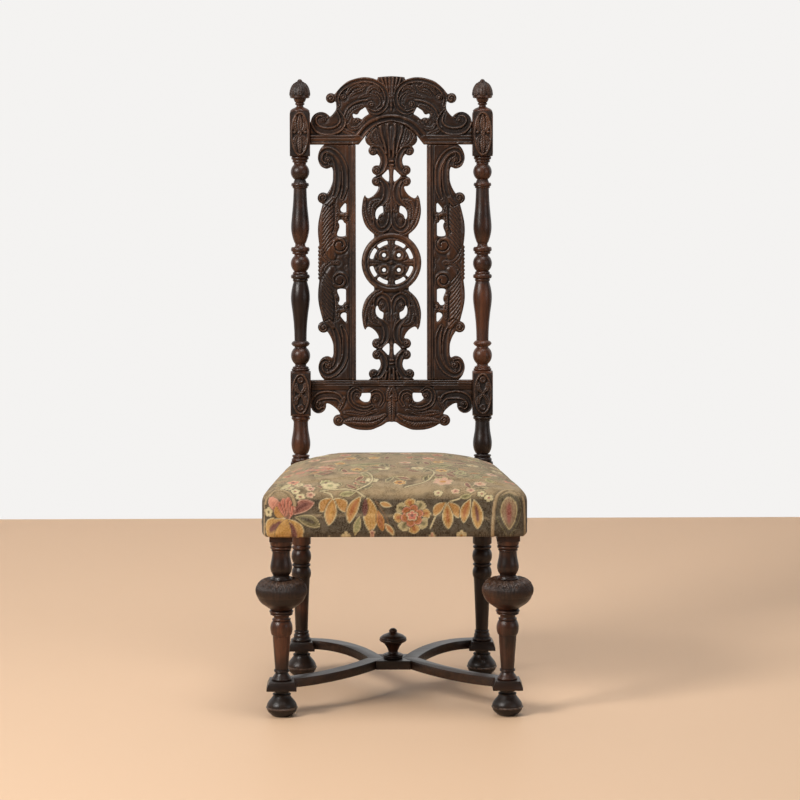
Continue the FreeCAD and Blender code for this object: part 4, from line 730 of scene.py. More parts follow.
# %% Back rail
low_flute = ("hollow", 5.5, [(104, 150, 4), (112, 161, 7.5), (130, 165, 9.5), (148, 163, 9.5),
                             (161, 153, 8.5), (163, 140, 7), (154, 131, 6), (143, 136, 5)])
back_lines = [
    low_flute, beside(low_flute, 0.33, 0.9, 1.8), beside(low_flute, -0.33, 0.9, 1.8),
    ("flat", 5.2, [(0, 190, 7.5), (90, 190, 7.5), (186, 190, 7.5)]),
    ("flat", 3.6, [(92, 180, 5), (186, 180, 5)]),
    ("groove", 1.7, [(0, 191.6, 1.0), (186, 191.6, 1.0)]),
    ("groove", 1.7, [(0, 186.0, 1.0), (186, 186.0, 1.0)]),
    ("hollow", 5.4, [(62, 172, 3), (74, 179, 4.2), (86, 171, 5), (87, 156, 5.2), (80, 144, 5.2),
                     (66, 137, 5), (52, 136, 4.6), (40, 141, 4)]),
    ("hollow", 5.4, [(47, 150, 3.6), (45, 164, 4.5), (34, 172, 4.8), (22, 168, 4.8), (18, 155, 4.5),
                     (24, 143, 4)]),
    ("leaf", 4.8, [(99, 158, 4), (104, 147, 6), (110, 135, 4)]),
    ("leaf", 5.0, [(99, 108, 4), (84, 110, 8), (64, 109, 12), (44, 109, 12), (26, 115, 8), (14, 123, 4)]),
    ("leaf", 4.4, [(98, 128, 4), (82, 127, 7), (62, 124, 6), (46, 128, 5), (32, 132, 4)]),
    ("leaf", 4.6, [(0, 182, 6), (6, 170, 6), (8, 156, 5)]),
    ("leaf", 5.0, [(0, 160, 6), (0, 142, 9), (0, 124, 8), (0, 108, 5)]),
    *knob(5.5, 149, 146, 7.5), *knob(5.5, 110, 112, 11.5), *knob(5.4, 71, 163, 8), *knob(5.4, 34, 154, 7.5),
]
cut_board("back_rail", back_lines, both_sides, level_walnut)

# %% [markdown]
# ## Side panels
# Each side panel is one board: a straight moulded strip at its inner edge, and next to it two long scrolls,
# the lower one the mirror image of the upper, joined by leaves.

# %% Side panels
outer_band = ("hollow", 5.5, [(104, 574, 4), (98, 592, 6.5), (96, 615, 7.5), (98, 638, 7.5),
                              (106, 657, 7.5), (119, 671, 7), (134, 676, 6.5), (146, 668, 6),
                              (148, 654, 5.5), (140, 645, 5), (132, 646, 4)])
inner_band = ("hollow", 5.0, [(122, 574, 5), (115, 590, 6.5), (112, 610, 7.5), (112, 632, 7.5),
                              (115, 648, 6), (122, 660, 5), (132, 666, 4)])
side_lines = [
    outer_band, inner_band,
    ("flat", 5.5, [(80, 436, 7), (80, 560, 7), (80, 692, 7)]),
    ("groove", 2.4, [(84, 436, 1.2), (84, 560, 1.2), (84, 692, 1.2)]),
    ("groove", 1.6, [(77.6, 436, 0.9), (77.6, 560, 0.9), (77.6, 692, 0.9)]),
    ("groove", 3.4, [(89, 436, 1.9), (89, 560, 1.9), (89, 692, 1.9)]),
    ("round", 5.2, [(122, 574, 7), (132, 553, 14), (135, 526, 17), (135, 500, 17), (132, 476, 15),
                    (124, 456, 11)]),
    ("groove", 2.6, [(122, 566, 1.0), (119, 545, 1.5), (119, 520, 1.6), (124, 503, 1.4)]),
    *[("groove", 1.5, [(121, 574 - down, 0.8), (133, 561 - down, 1.5), (143, 546 - down, 1.2)])
      for down in range(0, 99, 9)],
    ("leaf", 5.0, [(114, 558, 3), (112, 548, 6), (114, 528, 6), (116, 510, 3)]),
    ("round", 4.8, [(113, 542, 5), (100, 540, 5)]),
    ("groove", 2.0, [(138, 562, 1), (128, 558, 1.2), (120, 564, 1.2), (106, 560, 1)]),
    ("round", 5.5, [(108, 477, 21)]), ("flat", 5.0, [(108, 477, 20)]),
    ring("groove", 2.8, 108, 478, 16.5, 1.5, 80, 560, 6),
    ("leaf", 4.4, [(146, 466, 4), (141, 452, 7), (128, 441, 7), (112, 441, 6)]),
    ("leaf", 3.8, [(96, 452, 3), (89, 446, 5), (88, 436, 5)]),
    *knob(5.4, 131, 655, 9), *knob(5.4, 142, 576, 11.5), *knob(5.3, 94, 534, 9.5),
    ("round", 5.5, [(109, 480, 5)]), *knob(4.4, 112, 518, 4),
]
for node in ("side_panel_left", "side_panel_right"):
    cut_board(node, side_lines, both_ways, upright_walnut)

# %% [markdown]
# ## Splat
# The middle board carries a pierced roundel. Above and below it the same design stands and hangs: paired
# scrolls, a leafy crescent, two S-shaped bars beside a thin stem, and at the top a fan of petals. With all
# its openings it has the most surface of the boards, so its squares are a little larger.

# %% Splat
SPLAT_GRID = 1.35 * MM
splat_lines = [
    ring("round", 5.5, 0, BACK_MIDDLE, 57, 6.2, -20, 110),
    ring("round", 4.4, 0, BACK_MIDDLE, 48.6, 2.6, -20, 110),
    ("leaf", 4.2, [(8, 441, 2), (26, 441, 4), (38, 441, 7), (48, 441, 5)]),
    ("leaf", 4.2, [(0, 449, 2), (0, 467, 4), (0, 480, 6.5), (0, 489, 5)]),
    ("leaf", 5.2, [(5, 451, 4), (7, 463, 6), (14, 472, 7), (25, 470, 7), (31, 459, 6), (25, 449, 4)]),
    ("round", 5.5, [(0, BACK_MIDDLE, 8)]), ring("groove", 2.2, 0, BACK_MIDDLE, 5, 1.2),
    ring("round", 5.5, 15, 456, 9.5, 4.4, -50, 320), ring("groove", 1.6, 15, 456, 13.4, 0.9, -20, 110),
    ("hollow", 5.4, [(3, 549, 3), (3, 531, 5), (8, 516, 6.5), (20, 509, 6.5), (31, 517, 6), (33, 531, 5),
                     (25, 540, 4.4)]),
    ("leaf", 5.2, [(53, 580, 2), (57, 562, 5), (55, 542, 8), (48, 523, 9), (37, 508, 8), (20, 499, 5)]),
    ("leaf", 4.8, [(26, 570, 5), (38, 565, 8), (43, 550, 8), (41, 534, 6)]),
    ("hollow", 5.4, [(33, 612, 5), (22, 614, 5.5), (13, 604, 7), (10, 590, 8), (12, 575, 8), (21, 563, 6),
                     (30, 556, 4)]),
    ("hollow", 5.4, [(38, 680, 5), (26, 678, 6), (17, 664, 7), (15, 648, 7.5), (20, 634, 6.5),
                     (30, 625, 5)]),
    ("round", 4.6, [(0, 566, 3), (0, 600, 4), (0, 640, 5)]),
    ("leaf", 5.0, [(0, 576, 3), (7, 562, 5), (9, 549, 4)]),
    ("round", 4.8, [(0, 572, 2), (0, 560, 4), (0, 548, 3)]),
    ("round", 5.4, [(-3, 644, 3), (3, 644, 3)]), ("round", 5.4, [(-3, 652, 3), (3, 652, 3)]),
    ("round", 5.5, [(4, 662, 2.4), (5, 690, 3.2), (8, 714, 4), (8, 728, 4.4)]),
    ("round", 5.4, [(10, 668, 2.4), (15, 690, 3.4), (21, 710, 4), (23, 724, 4.4)]),
    ("round", 4.2, [(0, 676, 2.4), (0, 704, 4.5), (0, 722, 4.5)]),
    ("leaf", 4.8, [(28, 684, 5), (38, 692, 8), (44, 703, 8), (40, 714, 5)]),
    ("leaf", 4.6, [(20, 682, 4), (28, 698, 6), (32, 716, 6)]),
    *knob(5.4, 20, 529, 7.5), *knob(5.4, 30, 632, 9.5), *knob(5.4, 31, 609, 9.5), *knob(5.4, 38, 671, 9.5),
]
cut_board("splat", splat_lines, both_ways, upright_walnut, SPLAT_GRID)

# %% [markdown]
# ## Carved blocks on the posts
# Where the rails meet a post the turner left it square, and the carver cut an oval wreath into the square
# face. Upper and lower wreaths are drawn like the rest, about the middle of the block.

# %% Wreaths
WREATH_HALF_WIDTH = 17.2
OVAL_STEPS = 24


def wreath_rim(half_height):
    """An upright oval line about the middle of the block."""
    angles = [2 * math.pi * step / OVAL_STEPS for step in range(OVAL_STEPS + 1)]
    return ("round", 3.6, [(WREATH_HALF_WIDTH * math.cos(angle), half_height * math.sin(angle), 2.5)
                           for angle in angles])


upper_wreath = [
    wreath_rim(43.5), ("round", 4.2, [(0, 1, 5.4)]), ("groove", 1.8, [(0, 1, 2.2)]),
    ("leaf", 3.8, [(0, 7, 3), (0, 20, 6.5), (0, 37, 3)]),
    ("leaf", 3.8, [(0, -5, 3), (0, -20, 6.5), (0, -37, 3)]),
    ("leaf", 3.6, [(4, 5, 2), (10, 12, 4.5), (11, 24, 4), (7, 34, 2)]), ("round", 3.6, [(11, 3, 3.4)]),
    ("leaf", 3.6, [(4, -4, 2), (10, -11, 4.5), (11, -24, 4), (7, -34, 2)]),
]
lower_wreath = [
    wreath_rim(41), ("round", 4.0, [(0, 0, 4.4)]), ("groove", 1.8, [(0, 0, 1.8)]),
    ("round", 3.8, [(0, 29, 7.5)]), ("groove", 2.2, [(0, 29, 4.2)]), ("round", 3.2, [(0, 29, 2.2)]),
    ("round", 3.8, [(0, -29, 7.5)]), ("groove", 2.2, [(0, -29, 4.2)]), ("round", 3.2, [(0, -29, 2.2)]),
    ("leaf", 3.8, [(3, 4, 3), (9, 11, 5), (9, 20, 3)]), ("leaf", 3.8, [(3, -4, 3), (9, -11, 5), (9, -20, 3)]),
    ("leaf", 3.0, [(13, 0, 3), (14, 10, 3), (12, 26, 2)]),
    ("leaf", 3.0, [(13, 0, 3), (14, -10, 3), (12, -26, 2)]),
]

# %% [markdown]
# The post itself keeps its built shape. So a wreath is cut on a thin plate of small squares, raised into the
# drawn lines, and the plate is let into the face of the block, where its edge doesn't show.

# %% Carved plates
BLOCK_FACE = -21.0
POST_X = 190.0
PLATE_HALF_WIDTH = 20.0
PLATE_STEP = 1.0
PLATE_SKIN = 0.1
PLATE_RIM, PLATE_BACK = -0.5, -1.5


def carved_plate(name, side, low, high, lines):
    """One carved face on the post at one side, between two heights along the lean."""
    half_height, half_width = (high - low) / 2, PLATE_HALF_WIDTH
    mesh = bpy.data.meshes.new(name)
    plate = bmesh.new()
    bmesh.ops.create_grid(plate, x_segments=int(2 * half_width / PLATE_STEP),
                          y_segments=int(2 * half_height / PLATE_STEP), size=1)
    bmesh.ops.scale(plate, vec=(half_width, half_height, 1), verts=plate.verts)
    spots = np.array([vert.co[:2] for vert in plate.verts])
    height = carved_height(lines, np.stack([np.abs(spots[:, 0]), spots[:, 1]], 1))
    rim = np.minimum(half_width - np.abs(spots[:, 0]), half_height - np.abs(spots[:, 1]))
    for vert, raised, inset in zip(plate.verts, height, rim):
        vert.co.z = raised + PLATE_SKIN if inset > PLATE_STEP / 2 else PLATE_RIM
    grown = bmesh.ops.extrude_face_region(plate, geom=plate.faces[:])
    for item in grown["geom"]:
        if isinstance(item, bmesh.types.BMVert):
            item.co.z = PLATE_BACK
    bmesh.ops.recalc_face_normals(plate, faces=plate.faces)
    plate.to_mesh(mesh)
    plate.free()
    points = read_points(mesh)
    raised = points[:, 2].copy()
    board = np.stack([side * POST_X + points[:, 0], BLOCK_FACE - points[:, 2],
                      (low + high) / 2 + points[:, 1]], 1)
    write_points(mesh, from_board(board))
    # The low ground of the wreath is painted darker, partly as dust and partly as painted shade.
    keep_values(mesh, "recess_dust_and_shade", np.clip(1.0 - raised / 2.8, 0, 1))
    keep_values(mesh, "ridge", np.clip((raised - 2.6) / 2.2, 0, 0.5))
    mesh.shade_smooth()
    mesh.materials.append(upright_walnut)
    made = live_copy(name, mesh)
    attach(made, "root")
    print(made.name, "points:", len(mesh.vertices))


SIDES = ((-1, "left"), (1, "right"))
for side, label in SIDES:
    carved_plate("upper_wreath_" + label, side, 663, 755, upper_wreath)
    carved_plate("lower_wreath_" + label, side, 125, 211, lower_wreath)

# %% [markdown]
# ## Leaves carved round a turned form
# The turner leaves the cup of a front leg and the acorn on a post smooth. The carver then cuts leaves round
# them, the same few over and over. Here a thin sleeve is spun over the turned form, a little proud of it.
# Its surface is unrolled, folded into one repeat, and raised where the lines of a leaf lie. Towards its
# lower end the carving fades out, as it does under the cup.

# %% Spinning a sleeve
STEPS_PER_LEAF = 24
ALONG = 64
INNER_EVERY = 9
SUNK = 1.6
TAPER = 1.6
PROUD, UNDER = 0.5, 0.3


def turned_outline(local, low, high):
    """Radius of a turned piece at even heights, read from its points round their own axis."""
    heights, radii = np.round(local[:, 2], 1), np.hypot(local[:, 0], local[:, 1])
    steps = np.unique(heights)
    widest = np.array([radii[heights == step].max() for step in steps])
    wanted = np.linspace(low, high, ALONG)
    return wanted, np.interp(wanted, steps, widest)


def spun_mesh(name, rings, steps):
    """A closed profile of radii and heights, spun round the z axis."""
    solid = bmesh.new()
    corners = [solid.verts.new((radius, 0, height)) for radius, height in rings]
    sides = [solid.edges.new(pair) for pair in zip(corners, corners[1:] + corners[:1])]
    bmesh.ops.spin(solid, geom=corners + sides, cent=(0, 0, 0), axis=(0, 0, 1), angle=2 * math.pi,
                   steps=steps, use_merge=True)
    bmesh.ops.remove_doubles(solid, verts=solid.verts, dist=0.01)
    bmesh.ops.recalc_face_normals(solid, faces=solid.faces)
    mesh = bpy.data.meshes.new(name)
    solid.to_mesh(mesh)
    solid.free()
    return mesh


def carved_sleeve(name, local, back_to_room, low, high, repeats, lines, fade):
    """A sleeve of leaves on a turned form, fading out at its lower end; local has its axis as z."""
    heights, radii = turned_outline(local, low, high)
    inner = zip(radii[::-INNER_EVERY] - SUNK, heights[::-INNER_EVERY])
    rings = list(zip(radii, heights)) + list(inner)
    mesh = spun_mesh(name, rings, repeats * STEPS_PER_LEAF)
    spun = read_points(mesh)
    rise, grow = np.gradient(heights), np.gradient(radii)
    run = np.hypot(rise, grow)
    travelled = np.cumsum(run[::-1])[::-1] - run[-1]
    depth = np.interp(spun[:, 2], heights, travelled)
    pitch = 2 * math.pi / repeats
    folded = np.abs((np.arctan2(spun[:, 1], spun[:, 0]) / pitch + 0.5) % 1 - 0.5) * pitch * radii.max()
    height = carved_height(lines, np.stack([folded, depth], 1))
    radius = np.hypot(spun[:, 0], spun[:, 1])
    outside = radius > np.interp(spun[:, 2], heights, radii) - SUNK / 2
    ends = np.clip(np.minimum(depth, travelled[0] - depth) / TAPER, 0, 1)
    fading = np.clip((travelled[0] - depth) / fade, 0, 1)
    raised = np.where(outside, height * ends * fading + PROUD * ends - UNDER, 0)
    out = raised * np.interp(spun[:, 2], heights, rise / run)
    spun[:, :2] *= (1 + out / radius)[:, None]
    spun[:, 2] -= raised * np.interp(spun[:, 2], heights, grow / run)
    write_points(mesh, back_to_room(spun))
    # Between the leaves the sleeve is painted darker, partly as dust and partly as painted shade.
    keep_values(mesh, "recess_dust_and_shade", np.where(outside, ends * fading * np.clip(1.0 - height / 1.6, 0, 1), 0.2))
    keep_values(mesh, "ridge", np.where(outside, np.clip((height - 1.2) / 1.4, 0, 0.5), 0))
    mesh.shade_smooth()
    mesh.materials.append(upright_walnut)
    made = live_copy(name, mesh)
    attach(made, "root")
    print(made.name, "leaves:", repeats, "points:", len(mesh.vertices))


# %% Cups and acorns
CUP_HEIGHTS = (244.5, 277.5)
ACORN_HEIGHTS = (787, 819)
CUP_REPEATS, ACORN_REPEATS = 18, 8
LEG_CENTRE = (226.0, -203.2)
cup_leaves = [
    ("leaf", 2.6, [(0, 1, 3.5), (0, 9, 5.8), (0, 16, 5), (0, 22, 1.5)]),
    ("leaf", 1.9, [(8.8, 5, 2.5), (8.8, 14, 4.8), (8.8, 21, 4), (8.8, 26, 1.2)]),
    ("round", 1.5, [(1.5, 23, 1.25), (1.5, 60, 1.25)]), ("round", 1.5, [(4.4, 21, 1.25), (4.4, 60, 1.25)]),
    ("round", 1.5, [(7.3, 26, 1.25), (7.3, 60, 1.25)]),
]
acorn_leaves = [
    ("leaf", 1.6, [(0, 36, 5.5), (0, 26, 7), (0, 16, 4), (0, 10, 1.5)]),
    ("leaf", 1.2, [(8, 27, 5), (8, 14, 6), (8, 2, 3)]),
]
for side, label in SIDES:
    leg_axis = np.array([side * LEG_CENTRE[0], LEG_CENTRE[1], 0])
    cup = read_points(nodes["front_leg_" + label].data) / MM - leg_axis
    carved_sleeve("cup_leaves_" + label, cup, lambda spun, axis=leg_axis: (spun + axis) * MM,
                  *CUP_HEIGHTS, repeats=CUP_REPEATS, lines=cup_leaves, fade=16)
    post_axis = np.array([side * POST_X, 0, 0])
    acorn = to_board(read_points(nodes["post_finial_" + label].data)) - post_axis
    carved_sleeve("acorn_leaves_" + label, acorn, lambda spun, axis=post_axis: from_board(spun + axis),
                  *ACORN_HEIGHTS, repeats=ACORN_REPEATS, lines=acorn_leaves, fade=2)

# %% [markdown]
# ## Stretcher
# The crossed stretcher is as built. Each piece is copied so that its sharp edges can be rubbed off with a
# small bevel, which catches the light along every edge.

# %% Stretcher
STRETCHER = ("stretcher_front_left", "stretcher_front_right", "stretcher_rear_left",
             "stretcher_rear_right", "stretcher_hub")
RUBBED_WIDTH = 1.5 * MM
SHARP = math.radians(30)
FLAT = math.radians(1)
stretcher_walnut = walnut("stretcher_walnut", LEVEL, NEAR_BLACK, (0.017, 0.009, 0.006, 1),
                          (0.040, 0.018, 0.009, 1), RUBBED, 0.34, from_bend=0.0)


def rubbed_edges(node):
    """The built piece with its edges rubbed round."""
    mesh = joined_copy(node)
    solid = bmesh.new()
    solid.from_mesh(mesh)
    bmesh.ops.dissolve_limit(solid, angle_limit=FLAT, verts=solid.verts, edges=solid.edges)
    solid.to_mesh(mesh)
    solid.free()
    mesh.shade_smooth()
    mesh.materials.clear()
    mesh.materials.append(stretcher_walnut)
    piece = live_copy(node + "_rubbed", mesh)
    rubbed = piece.modifiers.new("rubbed", "BEVEL")
    rubbed.width = RUBBED_WIDTH
    rubbed.segments = 2
    rubbed.limit_method = "ANGLE"
    rubbed.angle_limit = SHARP
    rubbed.harden_normals = True
    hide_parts(node)
    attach(piece, "root")


for node in STRETCHER:
    rubbed_edges(node)
print("pieces with rubbed edges:", len(STRETCHER))

# %% [markdown]
# ## Seat
# The seat is stuffed with hair into a dome, and one cover is pulled over it, turned under the rails and
# tacked there. Its shape is made in four steps: a blank with rounded edges, the dome, the swelling, and the
# hem opened from below. The blank has the plan of the seat, wider in front, with the corners cut out for the
# rear posts, and is remeshed into even squares, as cloth needs.

# %% Outline of the seat
SEAT_FRONT = (269.5, -241.2)
SEAT_REAR = (217.0, 195.8)
POST_NOTCH = (167.0, 147.8)
BLANK_INSET = 2.5
CORNER = 31.0
ROLL = 22.0
UNDER_ROLL = 9.0
seat_low, seat_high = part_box("seat_cover")
seat_bottom, seat_top = seat_low.z / MM, seat_high.z / MM
print("seat from, to in mm:", round(seat_bottom, 1), round(seat_top, 1))

# %% Seat blank
SEAT_GRID = 4.4 * MM
FRONT_HALF = -200


def roll_edges(blank, choose, radius, segments):
    """Rounds the edges of the blank that the test picks."""
    edges = [edge for edge in blank.edges if choose(*(vert.co / MM for vert in edge.verts))]
    bmesh.ops.bevel(blank, geom=edges, offset=radius * MM, segments=segments, profile=0.5,
                    affect="EDGES", material=-1)


def seat_blank():
    """The seat with a flat top, its edges rolled, as a mesh of small even squares."""
    front_x, front_y = SEAT_FRONT[0] - BLANK_INSET, SEAT_FRONT[1] + BLANK_INSET
    rear_x, rear_y = SEAT_REAR[0], SEAT_REAR[1] - 1
    notch_x, notch_y = POST_NOTCH
    side_x = front_x + (rear_x - front_x) * (notch_y - front_y) / (rear_y - front_y)
    right = [(front_x, front_y), (side_x, notch_y), (notch_x, notch_y), (notch_x, rear_y)]
    corners = right + [(-x, y) for x, y in reversed(right)]
    blank = bmesh.new()
    base = blank.faces.new([blank.verts.new((x * MM, y * MM, seat_bottom * MM)) for x, y in corners])
    grown = bmesh.ops.extrude_face_region(blank, geom=[base])["geom"]
    for vert in grown:
        if isinstance(vert, bmesh.types.BMVert):
            vert.co.z = seat_top * MM
    bmesh.ops.recalc_face_normals(blank, faces=blank.faces)
    roll_edges(blank, lambda a, b: abs(a.z - b.z) > 1 and a.y < FRONT_HALF, CORNER, 8)
    roll_edges(blank, lambda a, b: min(a.z, b.z) > seat_top - 1, ROLL, 6)
    roll_edges(blank, lambda a, b: max(a.z, b.z) < seat_bottom + 1, UNDER_ROLL, 3)
    mesh = bpy.data.meshes.new("seat")
    blank.to_mesh(mesh)
    blank.free()
    return mesh


seat = live_copy("tapestry_seat", seat_blank())
mesh = even_squares(seat, SEAT_GRID)
print("seat blank points:", len(mesh.vertices))

# %% [markdown]
# The flat top is drawn down to a dome, fullest in the middle, and the sides are drawn down with it. Hair
# packs a little unevenly, so slow noise lifts and sinks it by a millimetre or two.

# %% Seat dome
CROWN_HEIGHT = 488.0
FRONT_EDGE, REAR_EDGE = 459.0, 450.0
FULLNESS = 3.4
LUMP_SIZE, LUMP_HEIGHT = 70, 1.6


def dome_height(x, y):
    """Height of the stuffed top: fullest in the middle, nearly level along its edges."""
    back = (y - SEAT_FRONT[1]) / (SEAT_REAR[1] - SEAT_FRONT[1])
    half = SEAT_FRONT[0] + back * (SEAT_REAR[0] - SEAT_FRONT[0])
    edge = FRONT_EDGE + back * (REAR_EDGE - FRONT_EDGE)
    across = 1 - np.clip(np.abs(x) / half, 0, 1) ** FULLNESS
    along = 1 - np.clip(np.abs(2 * back - 1), 0, 1) ** FULLNESS
    return edge + (CROWN_HEIGHT - edge) * across * along


points = read_points(mesh) / MM
drop = seat_top - dome_height(points[:, 0], points[:, 1])
above = points[:, 2] - seat_bottom
full = seat_top - ROLL - seat_bottom
sunk = np.where(above > full, above - drop, above * (full - drop) / full)
lumps = np.array([noise.noise((x / LUMP_SIZE, y / LUMP_SIZE, z / LUMP_SIZE)) for x, y, z in points])
points[:, 2] = seat_bottom + sunk + LUMP_HEIGHT * lumps * np.clip(above / full, 0, 1)
write_points(mesh, points * MM)
mesh.update()
print("seat dome crown in mm:", round(points[:, 2].max(), 1))

# %% [markdown]
# Then Blender's Cloth fills the seat with pressure, as the hair does, so it swells between the places where
# it is held: the turned edge below and the corners at the rear posts. Of that swelling only what goes
# outwards is kept, and no more than a few millimetres, so the seat keeps the outline of the real one.

# %% Filling the seat
PRESSURE = 4.0
SETTLING_FRAMES = 20
HELD_BELOW = 7.0
HELD_AT_POSTS = 8.0
TOP_SWELL, SIDE_SWELL = 3.5, 4.0
before = read_points(mesh) / MM
held = seat.vertex_groups.new(name="held")
at_post = (np.abs(before[:, 0]) > POST_NOTCH[0] - HELD_AT_POSTS)
at_post &= before[:, 1] > POST_NOTCH[1] - HELD_AT_POSTS
fixed = np.flatnonzero((before[:, 2] < seat_bottom + HELD_BELOW) | at_post)
held.add(fixed.tolist(), 1.0, "REPLACE")
cloth = seat.modifiers.new("cloth", "CLOTH")
cloth.settings.use_pressure = True
cloth.settings.uniform_pressure_force = PRESSURE
cloth.settings.effector_weights.gravity = 0
cloth.settings.vertex_group_mass = "held"
for step in range(1, SETTLING_FRAMES + 1):
    bpy.context.scene.frame_set(step)
mesh = apply_modifiers(seat)
bpy.context.scene.frame_set(1)
normals = read_normals(mesh)
after = read_points(mesh) / MM
swell = ((after - before) * normals).sum(1)
most = SIDE_SWELL + (TOP_SWELL - SIDE_SWELL) * np.clip(normals[:, 2], 0, 1)
after = before + normals * np.clip(swell, 0, most)[:, None]
write_points(mesh, after * MM)
print("seat swelled in mm:", round(float(swell.max()), 1))

# %% [markdown]
# The stuffing itself is the same swollen form, shrunk by a little more than the cover's thickness and cut off
# flat just above the base cloth.

# %% Stuffing under the cover
COVER_SPACE = 3.0
CLEARANCE = 0.5
stuffing_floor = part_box("hessian")[1].z + CLEARANCE * MM
stuffed = bmesh.new()
stuffed.from_mesh(mesh)
for vert in stuffed.verts:
    vert.co -= vert.normal * COVER_SPACE * MM
everything = stuffed.verts[:] + stuffed.edges[:] + stuffed.faces[:]
halves = bmesh.ops.bisect_plane(stuffed, geom=everything, dist=0.0001 * MM, plane_co=(0, 0, stuffing_floor),
                                plane_no=(0, 0, 1), clear_inner=True)
rim = [edge for edge in halves["geom_cut"] if isinstance(edge, bmesh.types.BMEdge)]
bmesh.ops.holes_fill(stuffed, edges=rim, sides=0)
bmesh.ops.recalc_face_normals(stuffed, faces=stuffed.faces)
hair_mesh = bpy.data.meshes.new("seat_hair")
stuffed.to_mesh(hair_mesh)
stuffed.free()
hair = live_copy("seat_hair", hair_mesh)
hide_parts("seat_stuffing")
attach(hair, "root")
print("stuffing points:", len(hair_mesh.vertices))

# %% [markdown]
# One subdivision halves the squares of the cover to about the size of a stitch. Then the underside is cut
# open inside the hem and round the front legs. The cut runs in steps along the squares, so its points are
# moved onto the line, in a few tries.

# %% Opening the hem
HEM = 34.0
LEG_HALF = 23.7
SLOPE_STEP = 0.1
UNDER_DEPTH = 4


def inside_opening(x, y):
    """How far a place lies inside the opening of the hem, in millimetres."""
    share = (y - SEAT_FRONT[1]) / (SEAT_REAR[1] - SEAT_FRONT[1])
    side = SEAT_FRONT[0] + share * (SEAT_REAR[0] - SEAT_FRONT[0]) - HEM - np.abs(x)
    frame_gap = np.minimum(np.minimum(y - SEAT_FRONT[1], SEAT_REAR[1] - y) - HEM, side)
    leg_gap = np.minimum(LEG_HALF - np.abs(np.abs(x) - LEG_CENTRE[0]), LEG_HALF - np.abs(y - LEG_CENTRE[1]))
    return np.maximum(frame_gap, leg_gap)


finer = seat.modifiers.new("finer", "SUBSURF")
finer.levels = finer.render_levels = 1
mesh = apply_modifiers(seat)
cut = bmesh.new()
cut.from_mesh(mesh)
under = [face for face in cut.faces if face.normal.z < -0.7
         and face.calc_center_median().z < (seat_bottom + UNDER_DEPTH) * MM
         and inside_opening(*(face.calc_center_median().xy / MM)) > 0]
bmesh.ops.delete(cut, geom=under, context="FACES")
for vert in cut.verts:
    if vert.is_boundary:
        for _ in range(3):
            x, y = vert.co.xy / MM
            gap = inside_opening(x, y)
            slope = (inside_opening(x + SLOPE_STEP, y) - gap, inside_opening(x, y + SLOPE_STEP) - gap)
            size = math.hypot(*slope) or 1.0
            vert.co.x -= gap * slope[0] / size * MM
            vert.co.y -= gap * slope[1] / size * MM
cut.to_mesh(mesh)
cut.free()
print("seat points:", len(mesh.vertices))

# %% [markdown]
# ## Tapestry
# The cover is flowered tapestry: gold and coral flowers, leaves and small blossoms on a dark olive ground,
# faded to beige on top, and there also painted lighter as light falling from above. The flowers are worked
# into the mesh as a colour for each point, since a stitch is about as large as a square of the mesh. They are
# drawn
# on the cloth laid flat: u runs along the front and round its corners, and v up the front and on over the
# top, in millimetres.

# %% The cloth laid flat
points = read_points(mesh) / MM
normals = read_normals(mesh)
turn_x, turn_y = SEAT_FRONT[0] - CORNER, SEAT_FRONT[1] + CORNER
side_of = np.sign(points[:, 0])
round_corner = np.arctan2(np.abs(points[:, 0]) - turn_x, turn_y - points[:, 1])
across = np.abs(points[:, 0])
beyond = (across > turn_x) & (points[:, 1] < turn_y)
across = np.where(beyond, turn_x + CORNER * np.clip(round_corner, 0, math.pi / 2), across)
on_side = (points[:, 1] >= turn_y) & (np.abs(normals[:, 0]) > normals[:, 2])
across = np.where(on_side, turn_x + CORNER * math.pi / 2 + points[:, 1] - turn_y, across)
cloth_u = side_of * across
up = points[:, 2] - seat_bottom
cloth_v = np.where(on_side, up, up + np.maximum(points[:, 1] - SEAT_FRONT[1], 0))
cloth_v = np.where(beyond & (normals[:, 2] < 0.5), up, cloth_v)
spots = np.stack([cloth_u, cloth_v], 1)
# Upward-facing cloth is faded, and also painted lighter as light falling from above.
faded_and_top_lit = np.clip((normals[:, 2] - 0.15) / 0.5, 0, 1)
faded_and_top_lit = faded_and_top_lit**2 * (3 - 2 * faded_and_top_lit)
print("cloth laid flat, width in mm:", round(np.ptp(cloth_u)))

# %% [markdown]
# Every yarn is a dye, given by its look on the screen.

# %% Yarns


def dyed(red, green, blue):
    """A yarn's colour from its look on the screen, 0 to 255."""
    return np.array([red, green, blue]) ** 2.2 / 255**2.2


CREAM, PALE = dyed(218, 200, 152), dyed(196, 178, 128)
GOLD, OCHRE, AMBER = dyed(206, 152, 74), dyed(198, 136, 58), dyed(170, 98, 48)
CORAL, SALMON, PINK = dyed(196, 104, 84), dyed(220, 142, 116), dyed(214, 164, 138)
MAROON, WINE = dyed(104, 46, 44), dyed(146, 76, 66)
OLIVE, SAGE, DARK = dyed(108, 98, 60), dyed(158, 154, 102), dyed(62, 52, 38)

# %% [markdown]
# The flowers are built from three motifs: petals, which serve as leaves too, round blossoms, and stems. Each
# is worked in over what lies below it, with a dark line round it, then a pale rim, then its body. To save
# time a motif only looks at the points of the cloth near it.

# %% Working a yarn in
SOFT_EDGE = 1.3
RIM = 1.9
OUTLINE = 1.9
MARGIN = 4


def work_in(share, yarn, where=slice(None)):
    """Works a yarn into the cloth where the share is above 0."""
    colours[where] += np.clip(share, 0, 1)[:, None] * (yarn - colours[where])


def outlined(inside, where):
    """Works a dark line round a motif, so that it stands off from the ground."""
    work_in(0.75 * np.clip(inside / SOFT_EDGE + OUTLINE, 0, 1), DARK, where)


